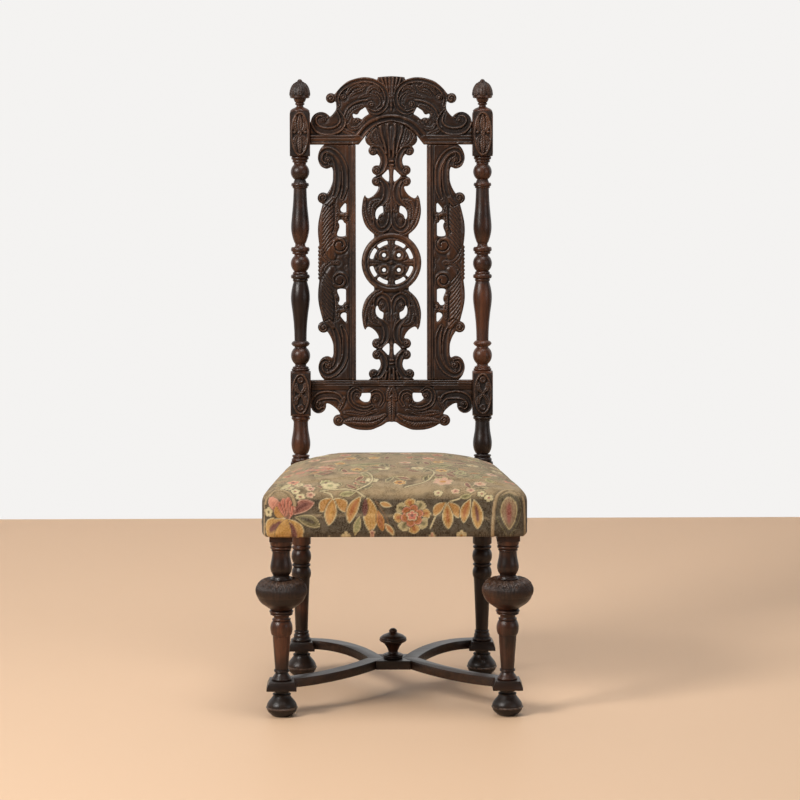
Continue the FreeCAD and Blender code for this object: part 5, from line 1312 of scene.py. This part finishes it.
def around(centre, reach):
    """The points of the cloth near a place."""
    return np.flatnonzero(np.abs(spots - centre).max(1) < reach + MARGIN)


# %% Motifs
RIB_PITCH = 1.9


def petal(base, tip, half, body, rim=CREAM, heart=None, bend=0.0, widest=0.55):
    """A petal or leaf: a rim, a body that darkens towards its middle, and often a heart."""
    base, tip = np.array(base, float), np.array(tip, float)
    length = math.hypot(*(tip - base))
    run = (tip - base) / length
    where = around((base + tip) / 2, length / 2 + half + abs(bend))
    along = (spots[where] - base) @ run / length
    aside = (spots[where] - base) @ np.array([-run[1], run[0]]) - bend * 4 * along * (1 - along)
    share = np.clip(along, 0, 1)
    width = half * np.sin(np.pi * share ** (math.log(0.5) / math.log(widest))) ** 0.7
    inside = np.where((along < 0) | (along > 1), -9, width - np.abs(aside))
    outlined(inside, where)
    work_in(inside / SOFT_EDGE + 0.5, rim, where)
    body_share = np.clip((inside - RIM) / SOFT_EDGE + 0.5, 0, 1)
    work_in(body_share, body, where)
    ribs = 0.5 + 0.5 * np.cos(aside * RIB_PITCH + 2.2 * share)
    work_in(body_share * (0.10 + 0.26 * (1 - share)) * (0.4 + 0.6 * ribs), DARK, where)
    work_in(body_share * 0.30 * share * (1 - ribs), rim, where)
    if heart is not None:
        stripe = (0.42 - np.abs(aside) / np.maximum(width, 0.1)) * 4
        ends = np.clip((share - 0.14) * 8, 0, 1) * np.clip((0.84 - share) * 6, 0, 1)
        work_in(stripe * ends, heart, where)


def blossom(centre, radius, petals, body, rim=CREAM, heart=OLIVE, turn=0.3):
    """A round flower with notched petals and a heart."""
    where = around(centre, radius)
    away = spots[where] - np.array(centre, float)
    distance = np.hypot(*away.T)
    wave = np.abs(np.cos(petals / 2 * (np.arctan2(away[:, 1], away[:, 0]) - turn)))
    inside = radius * (0.66 + 0.34 * wave**0.6) - distance
    outlined(inside, where)
    work_in(inside / SOFT_EDGE + 0.5, rim, where)
    work_in((inside - RIM * min(1, radius / 12)) / SOFT_EDGE + 0.5, body, where)
    split = (0.30 - wave) * 4 * np.clip(inside / 3, 0, 1) * np.clip(distance / radius * 3, 0, 1)
    work_in(split, rim, where)
    work_in((radius * 0.30 - distance) / SOFT_EDGE + 0.5, heart, where)


def stem(line, half, yarn=PALE):
    """A stem or scroll along a smooth line."""
    path = flowing([(u, v, half) for u, v in line])
    middle = (path.min(0) + path.max(0))[:2] / 2
    where = around(middle, np.ptp(path[:, :2], axis=0).max() / 2 + half)
    near = along_line(path, spots[where])[0]
    outlined((1 - near) * half, where)
    work_in((1 - near) * half / SOFT_EDGE + 0.5, yarn, where)


# %% [markdown]
# The ground comes first: dark olive at the sides, faded to beige on top and painted lighter there as lit from
# above, and cloudy like old dyed wool.

# %% Ground
FRONT_GROUND, TOP_GROUND_FADED_AND_LIT = dyed(56, 45, 29), dyed(154, 130, 94)
colours = FRONT_GROUND + faded_and_top_lit[:, None] * (TOP_GROUND_FADED_AND_LIT - FRONT_GROUND)
cloudy = np.array([noise.noise((u / 45, v / 45, 3)) + 0.6 * noise.noise((u / 14, v / 14, 7))
                   for u, v in spots])
work_in(0.5 * cloudy * (0.4 + faded_and_top_lit), dyed(168, 140, 104))
work_in(1.6 * np.clip(-cloudy, 0, 1) * (0.2 + 0.8 * faded_and_top_lit), dyed(98, 78, 52))
print("points of cloth to colour:", len(colours))

# %% [markdown]
# Over the ground run long scrolls, and between them sprigs are strewn, one to each cell of a grid, so that
# none lie on each other. A fixed seed gives the same cloth each time.

# %% Scattered work
SEED = 11
scatter = np.random.default_rng(SEED)


def scattered(low, high, columns, rows, reach):
    """Sprigs of a blossom, a stem and two leaves, one in each cell of a grid laid on the cloth."""
    low, high = np.array(low), np.array(high)
    for cell in np.ndindex(columns, rows):
        centre = low + (high - low) * (cell + scatter.uniform(0.15, 0.85, 2)) / (columns, rows)
        angle = scatter.uniform(0, 2 * math.pi)
        ahead = np.array([math.cos(angle), math.sin(angle)])
        aside = np.array([-ahead[1], ahead[0]])
        body = (GOLD, PINK, SALMON, SAGE, CREAM, OCHRE, CORAL)[scatter.integers(7)]
        foot = centre - 2.4 * reach * ahead
        stem([foot, centre - reach * ahead + 0.4 * reach * aside, centre], 1.3)
        petal(foot, foot + 1.9 * reach * (aside + ahead), 0.5 * reach, WINE, rim=PALE, heart=MAROON, bend=3)
        petal(foot, foot + 1.8 * reach * (ahead - aside), 0.46 * reach, OLIVE, rim=PALE, heart=DARK, bend=-3)
        blossom(centre, reach, scatter.integers(5, 8), body, heart=(MAROON, AMBER)[scatter.integers(2)])


def scrolls(low, high, count):
    """Long curling stems with a leaf on each side and a curl at the end."""
    for scroll in range(count):
        u, v = scatter.uniform(low, high)
        hand = scatter.choice((-1, 1))
        yarn = (PALE, SALMON, SAGE)[scroll % 3]
        line = [(u, v), (u + 24 * hand, v + 9), (u + 48 * hand, v + 4), (u + 64 * hand, v + 20),
                (u + 52 * hand, v + 31), (u + 43 * hand, v + 20)]
        stem(line, 1.5, yarn)
        petal((u + 20 * hand, v + 8), (u + 44 * hand, v + 26), 6.5, OCHRE, rim=PALE, heart=WINE, bend=3)
        petal((u + 30 * hand, v + 6), (u + 46 * hand, v - 15), 6.0, SAGE, rim=PALE, heart=OLIVE, bend=-3)


scrolls((-200, 140), (180, 520), 18)
scattered((-240, 128), (240, 575), 8, 7, 14)
scattered((285, 6), (690, 84), 9, 1, 15)
scattered((-690, 6), (-285, 84), 9, 1, 15)

# %% [markdown]
# The large flowers are placed one by one, as they lie on the real cover: first those on the top, then the
# bunch at the left of the front, which is the best seen, then the rose in the middle. The right half of the
# front answers the left.

# %% Work on the top
blossom((-128, 130), 20, 5, CREAM, rim=PALE, heart=SAGE)
stem([(-77, 107), (-52, 135), (-44, 170), (-54, 205), (-68, 200)], 1.6, CREAM)
petal((-64, 197), (-106, 201), 7.5, SALMON, heart=None)
petal((-15, 287), (-86, 268), 14, SAGE, rim=PALE, heart=OLIVE)
petal((-92, 350), (-150, 330), 14, PINK, rim=PALE)
for centre in ((-188, 232), (-168, 246), (-148, 238)):
    blossom(centre, 12, 5, CORAL, rim=PINK, heart=SAGE)
blossom((96, 150), 22, 6, PINK, rim=PALE, heart=OCHRE)
petal((60, 250), (120, 275), 13, SAGE, rim=PALE, heart=OLIVE)
stem([(20, 120), (62, 150), (80, 205), (56, 250)], 1.6, CREAM)

# %% Work on the front
SPRAY = ((-209, 122), (-173, 130), (-189, 138), (-167, 115), (-197, 105), (-167, 94), (-187, 88))
for index, centre in enumerate(SPRAY):
    blossom(centre, 10, 5, (CREAM, PINK)[index % 2], heart=WINE, turn=index)
petal((-229, 112), (-205, 146), 6.5, CREAM, rim=PALE)
petal((-233, 48), (-251, 92), 12, SALMON, rim=PINK, bend=-2)
petal((-218, 38), (-236, 66), 8, OCHRE, rim=GOLD, bend=2)
for tip in ((-229, 76), (-221, 85), (-211, 88), (-202, 84), (-194, 76)):
    petal((-212, 34), tip, 6, CORAL, rim=SALMON, widest=0.75)
petal((-200, 50), (-160, 74), 13, WINE, rim=PINK, heart=MAROON, bend=6)
petal((-197, 44), (-148, 24), 12, OLIVE, rim=PALE, heart=DARK, bend=3)
petal((-217, 42), (-256, 2), 20, GOLD, heart=MAROON, bend=-3, widest=0.6)
petal((-213, 40), (-194, -9), 21, GOLD, heart=MAROON, bend=2, widest=0.55)
petal((-214, 40), (-226, -6), 15, GOLD, rim=GOLD, widest=0.6)
blossom((-252, 52), 10, 5, CREAM, heart=OLIVE)
stem([(-147, 106), (-129, 98), (-123, 86)], 1.6, CREAM)
stem([(-147, 106), (-124, 112), (-97, 112), (-76, 104), (-60, 88)], 1.6, CREAM)
petal((-121, 84), (-147, 54), 11, OCHRE, bend=-5)
petal((-120, 84), (-98, 54), 11, OCHRE, bend=5)
petal((-122, 84), (-131, 26), 12, OCHRE, heart=GOLD)
petal((-66, 90), (-91, 30), 11, OCHRE, heart=AMBER, bend=-5)
petal((-54, 87), (-48, 12), 15, GOLD, bend=3)
petal((-58, 84), (-60, 44), 5, MAROON, rim=MAROON)
petal((-70, 44), (-79, 8), 7.5, SAGE, rim=PALE)
petal((-78, 100), (-110, 94), 9, SAGE, rim=PALE, heart=OLIVE)
blossom((-45, 11), 6, 5, PINK, heart=WINE)
blossom((-97, 4), 10, 5, CREAM, heart=OCHRE)
blossom((-130, 0), 8, 5, CREAM, heart=OCHRE)
stem([(-38, 77), (-18, 45), (-8, 12)], 1.6, dyed(116, 86, 56))
petal((-34, 58), (-24, 14), 7.5, AMBER, rim=OCHRE)
petal((-6, 66), (-30, 73), 6, OCHRE)
petal((-20, 30), (-2, 8), 6, OCHRE, heart=AMBER)

# %% Middle rose and the right half
for step in range(8):
    angle = 2 * math.pi * step / 8
    centre = (34 + 15 * math.cos(angle), 46 + 15 * math.sin(angle))
    petal(centre, (34 + 37 * math.cos(angle + 0.2), 46 + 37 * math.sin(angle + 0.2)), 12,
          (GOLD, PALE)[step % 2], heart=OLIVE if step % 2 else AMBER, widest=0.62)
blossom((34, 46), 23, 6, AMBER, rim=SALMON, heart=OCHRE)
blossom((34, 46), 12, 5, CORAL, rim=CREAM, heart=MAROON)
stem([(70, 20), (84, 50), (104, 72), (128, 82)], 1.5, CREAM)
petal((104, 74), (126, 40), 10, OCHRE, bend=5)
petal((102, 74), (78, 44), 9, OCHRE, bend=-5)
petal((103, 72), (106, 18), 11, GOLD, heart=AMBER)
petal((150, 82), (136, 30), 10, OCHRE, heart=AMBER, bend=-4)
petal((156, 80), (164, 18), 12, GOLD, heart=MAROON, bend=3)
petal((128, 84), (152, 92), 7, SAGE, rim=PALE, heart=OLIVE)
for index, centre in enumerate(((172, 96), (150, 108), (186, 84), (120, 104), (86, 98))):
    blossom(centre, 9.5, 5, (CREAM, PINK)[index % 2], heart=WINE, turn=index)
blossom((132, 6), 10, 5, CREAM, heart=OCHRE)
blossom((74, 4), 8, 5, PINK, heart=OCHRE)
print("mean red, green and blue of the cloth:", colours.mean(0).round(3))

# %% [markdown]
# ## Corners of the cover
# At each front corner the cover is joined in an arch. A pale band follows the arch and stands up a little
# from the cloth. At the left it passes under the large gold flower, and inside the arch at the right is a
# dark medallion.

# %% Corner arches
ARCH_HALF, ARCH_TOP, ARCH_X = 33.0, 112.0, 229.0
BAND_HALF = 4.0
BAND_RISE, SEAM_DROP = 1.3, 0.9
FRONT_REACH = 120
FLOWER_TOP, FLOWER_LEFT = 66, -262
petal((225, 4), (226, 98), 27, DARK, rim=OLIVE)
petal((226, 16), (226, 88), 17, dyed(150, 118, 88), rim=PALE, heart=WINE)
arch_side = [(0.4, ARCH_TOP - 5), (0.8, ARCH_TOP - 24), (1, ARCH_TOP - 56), (1.1, -6)]
arch_side = [(share * ARCH_HALF, v) for share, v in arch_side]
arch = [(-u, v) for u, v in reversed(arch_side)] + [(0, ARCH_TOP)] + arch_side
raised = np.zeros(len(points))
for side in (-1, 1):
    line = flowing([(side * ARCH_X + u, v, BAND_HALF) for u, v in arch])
    near = along_line(line, spots)[0]
    corner = ~((np.abs(cloth_u) < FRONT_REACH) | (points[:, 1] > -FRONT_REACH))
    near = np.where(corner, near, 9)
    flower = (side < 0) & (cloth_v < FLOWER_TOP) & (cloth_u > FLOWER_LEFT)
    shown = np.where(flower, 0.0, 1.0)
    work_in(shown * (1.5 - near) * 3, DARK)
    work_in(shown * (1 - near) * 3, dyed(172, 146, 108))
    raised += BAND_RISE * np.clip(1 - near**2, 0, 1) ** 0.5
    raised -= SEAM_DROP * np.exp(-((near - 1.3) / 0.25) ** 2)
# The top is lifted a little more towards the beige, as fading and painted light from above.
fade = faded_and_top_lit[:, None] * 0.12
colours += fade * (TOP_GROUND_FADED_AND_LIT * 1.06 - colours)
write_points(mesh, (points + raised[:, None] * normals) * MM)
yarn = mesh.color_attributes.new("yarn", "FLOAT_COLOR", "POINT")
yarn.data.foreach_set("color", np.hstack([np.clip(colours, 0, 1), np.ones((len(points), 1))]).ravel())
laid = np.stack([cloth_u, cloth_v, np.zeros(len(points))], 1) * MM
mesh.attributes.new("laid_flat", "FLOAT_VECTOR", "POINT").data.foreach_set("vector", laid.ravel())
print("corner bands raised in mm:", round(raised.max(), 1))

# %% [markdown]
# The weave itself is too fine for the mesh. A shader works it from the laid-flat place of each point: every
# stitch is a small raised square with a shade of its own, and the dips between stitches are painted darker as
# shade. The two helpers serve the plain cloths as well.

# %% Tapestry finish
STITCH = 1.9 * MM


def scaled(tree, vector, factor):
    """A vector times a number."""
    return add_node(tree, "ShaderNodeVectorMath", {0: vector, 1: (factor,) * 3},
                    operation="MULTIPLY").outputs[0]


def sines(tree, vector):
    """The sines of a vector's first two parts."""
    axes = add_node(tree, "ShaderNodeSeparateXYZ", {0: vector})
    return [add_node(tree, "ShaderNodeMath", {0: axes.outputs[axis]}, operation="SINE").outputs[0]
            for axis in range(2)]


tapestry, tree, shader = new_material("tapestry_cloth")
flat = add_node(tree, "ShaderNodeAttribute", attribute_name="laid_flat")
dye = add_node(tree, "ShaderNodeAttribute", attribute_name="yarn")
counted = scaled(tree, flat.outputs["Vector"], 1 / STITCH)
whole = add_node(tree, "ShaderNodeVectorMath", {0: counted}, operation="FLOOR").outputs[0]
part = add_node(tree, "ShaderNodeVectorMath", {0: counted}, operation="FRACTION").outputs[0]
shade = add_node(tree, "ShaderNodeTexWhiteNoise", {"Vector": whole}, noise_dimensions="3D")
stitch_height = sum_up(tree, "MULTIPLY", *sines(tree, scaled(tree, part, math.pi)))
place = add_node(tree, "ShaderNodeTexCoord").outputs["Object"]
wool = add_node(tree, "ShaderNodeTexNoise", {"Vector": place, "Scale": 60.0, "Detail": 4.0})
darker = blend_colours(tree, 0.30, dye.outputs["Color"], (0.02, 0.015, 0.01, 1))
lighter = blend_colours(tree, 0.12, dye.outputs["Color"], (0.75, 0.66, 0.50, 1))
mottled = blend_colours(tree, shade.outputs["Value"], darker, lighter)
dusty = blend_colours(tree, rising(tree, wool.outputs["Fac"], 0.42, 0.75), mottled, lighter)
# Painted shade: the colour darkens towards near-black in the dips between stitches.
shade_in_gaps = sum_up(tree, "SUBTRACT", 0.34, stitch_height)
tree.links.new(blend_colours(tree, shade_in_gaps, dusty, (0.03, 0.022, 0.014, 1)), shader.inputs["Base Color"])
weave = add_node(tree, "ShaderNodeBump", {"Strength": 0.6, "Distance": 0.0007, "Height": stitch_height})
tree.links.new(weave.outputs[0], shader.inputs["Normal"])
shader.inputs["Roughness"].default_value = 0.92
shader.inputs["Specular IOR Level"].default_value = 0.2
shader.inputs["Sheen Weight"].default_value = 0.12
shader.inputs["Sheen Roughness"].default_value = 0.5
print("finish of the cover:", tapestry.name, "stitches on a metre:", round(1 / STITCH))

# %% [markdown]
# Solidify gives the cover its thickness, inwards, so the hem shows as real cloth from below.

# %% The finished cover
COVER_THICKNESS = 2.0 * MM
mesh.materials.clear()
mesh.materials.append(tapestry)
thickness = seat.modifiers.new("cloth_thickness", "SOLIDIFY")
thickness.thickness = COVER_THICKNESS
thickness.offset = -1
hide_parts("seat_cover")
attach(seat, "root")
print("cover points:", len(mesh.vertices))

# %% [markdown]
# ## Finish for the pieces that keep their built shape
# Turned posts, legs and feet are right as built. They only get the walnut finish, a little redder on the
# posts and nearly black on the feet. The seat frame is bare beech, and its pegs are cleft from oak.

# %% More woods
turned_walnut = walnut("turned_walnut", UPRIGHT, NEAR_BLACK, (0.018, 0.008, 0.005, 1),
                       (0.098, 0.034, 0.016, 1), RUBBED, 0.34, from_bend=0.3)
black_walnut = walnut("black_walnut", UPRIGHT, NEAR_BLACK, (0.015, 0.009, 0.006, 1), (0.034, 0.016, 0.009, 1),
                      (0.12, 0.08, 0.06, 1), 0.38)
beech = walnut("bare_beech", LEVEL, (0.16, 0.09, 0.045, 1), (0.42, 0.27, 0.15, 1), (0.34, 0.20, 0.11, 1),
               (0.50, 0.34, 0.20, 1), 0.62, from_bend=0.0)
cleft_peg = walnut("cleft_peg", UPRIGHT, (0.08, 0.04, 0.02, 1), (0.20, 0.11, 0.06, 1), (0.15, 0.08, 0.045, 1),
                   (0.26, 0.16, 0.09, 1), 0.5, from_bend=0.0)
print("more woods:", turned_walnut.name, black_walnut.name, beech.name, cleft_peg.name)

# %% [markdown]
# Each bun foot has a thin raised line round its widest part, spun like the sleeves of leaves.

# %% Rims of the feet
RIM_STEPS = 96
RIM_OUT, RIM_HALF = 1.0, 0.6
ROOT_IN, ROOT_HALF = 2.0, 3.0
feet = [name for name in nodes if "_foot_" in name]
for name in feet:
    low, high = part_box(name)
    foot_axis = np.array([(low.x + high.x) / 2, (low.y + high.y) / 2, 0]) / MM
    foot = read_points(nodes[name].data) / MM - foot_axis
    reach = np.hypot(foot[:, 0], foot[:, 1])
    widest = reach.max()
    level = foot[reach > widest - 0.05, 2].mean()
    root, edge = widest - ROOT_IN, widest + RIM_OUT
    profile = [(root, level + ROOT_HALF), (edge, level + RIM_HALF), (edge, level - RIM_HALF),
               (root, level - ROOT_HALF)]
    rim = spun_mesh(name + "_rim", profile, RIM_STEPS)
    write_points(rim, (read_points(rim) + foot_axis) * MM)
    rim.materials.append(black_walnut)
    made = live_copy(name + "_rim", rim)
    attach(made, "root")
print("feet with a rim:", feet)

# %% [markdown]
# ## What the seat hides
# Under the seat are jute webbing and base cloth, iron tacks and steel screws. Cloth is worked as crossing
# threads, and old metal as a dull shine broken by rust.

# %% Plain cloth


def plain_weave(name, thread, light, dark, hairy=0.0):
    """Crossing threads of one width, on the object's own coordinates."""
    material, tree, shader = new_material(name)
    place = add_node(tree, "ShaderNodeTexCoord").outputs["Object"]
    waves = sines(tree, scaled(tree, place, 2 * math.pi / thread))
    crossed = add_node(tree, "ShaderNodeMath", {0: waves[0], 1: waves[1]}, operation="MULTIPLY").outputs[0]
    level = add_node(tree, "ShaderNodeMapRange", {0: crossed, 1: -1.0, 2: 1.0}).outputs[0]
    fluff = add_node(tree, "ShaderNodeTexNoise", {"Vector": place, "Scale": 0.35 / thread, "Detail": 5.0,
                                                  "Distortion": hairy}).outputs["Fac"]
    mixed = sum_up(tree, "MULTIPLY", level, rising(tree, fluff, 0.25, 0.7))
    tree.links.new(blend_colours(tree, mixed, dark, light), shader.inputs["Base Color"])
    raised = add_node(tree, "ShaderNodeBump", {"Strength": 0.5, "Distance": thread / 3, "Height": mixed})
    tree.links.new(raised.outputs[0], shader.inputs["Normal"])
    shader.inputs["Roughness"].default_value = 0.95
    return material


# %% Old metal


def old_metal(name, colour, rust):
    """Dull metal with specks of rust."""
    material, tree, shader = new_material(name)
    place = add_node(tree, "ShaderNodeTexCoord").outputs["Object"]
    specks = add_node(tree, "ShaderNodeTexNoise", {"Vector": place, "Scale": 700.0, "Detail": 4.0})
    share = rising(tree, specks.outputs["Fac"], 0.48, 0.66)
    tree.links.new(blend_colours(tree, share, colour, rust), shader.inputs["Base Color"])
    tree.links.new(sum_up(tree, "SUBTRACT", 1.0, share), shader.inputs["Metallic"])
    rough = add_node(tree, "ShaderNodeMapRange", {0: share, 3: 0.42, 4: 0.85})
    tree.links.new(rough.outputs[0], shader.inputs["Roughness"])
    return material


# %% [markdown]
# Each piece that keeps its built shape says by its slot what it is made of, so one table of slots gives them
# all their finish.

# %% Finish by slot
webbing = plain_weave("jute_webbing", 2.6 * MM, (0.46, 0.35, 0.21, 1), (0.20, 0.14, 0.08, 1))
base_cloth = plain_weave("base_cloth", 1.6 * MM, (0.48, 0.37, 0.22, 1), (0.22, 0.16, 0.09, 1))
curled_hair = plain_weave("curled_hair", 1.2 * MM, (0.24, 0.17, 0.11, 1), (0.05, 0.035, 0.025, 1), 4.0)
steel = old_metal("dull_steel", (0.35, 0.33, 0.31, 1), (0.10, 0.05, 0.03, 1))
iron = old_metal("blued_iron", (0.06, 0.06, 0.07, 1), (0.06, 0.03, 0.02, 1))
hair.data.materials.clear()
hair.data.materials.append(curled_hair)
finishes = {"carved_wood": turned_walnut, "foot_wood": black_walnut, "frame_wood": beech,
            "peg_wood": cleft_peg, "screw_steel": steel, "tack_steel": iron, "webbing": webbing,
            "hessian": base_cloth}
for name, node in nodes.items():
    for holder in node.material_slots:
        slot_name = holder.material.name.split(".")[0]
        if slot_name in finishes:
            holder.link = "OBJECT"
            holder.material = finishes[slot_name]
print("slots with a finish:", sorted(finishes))
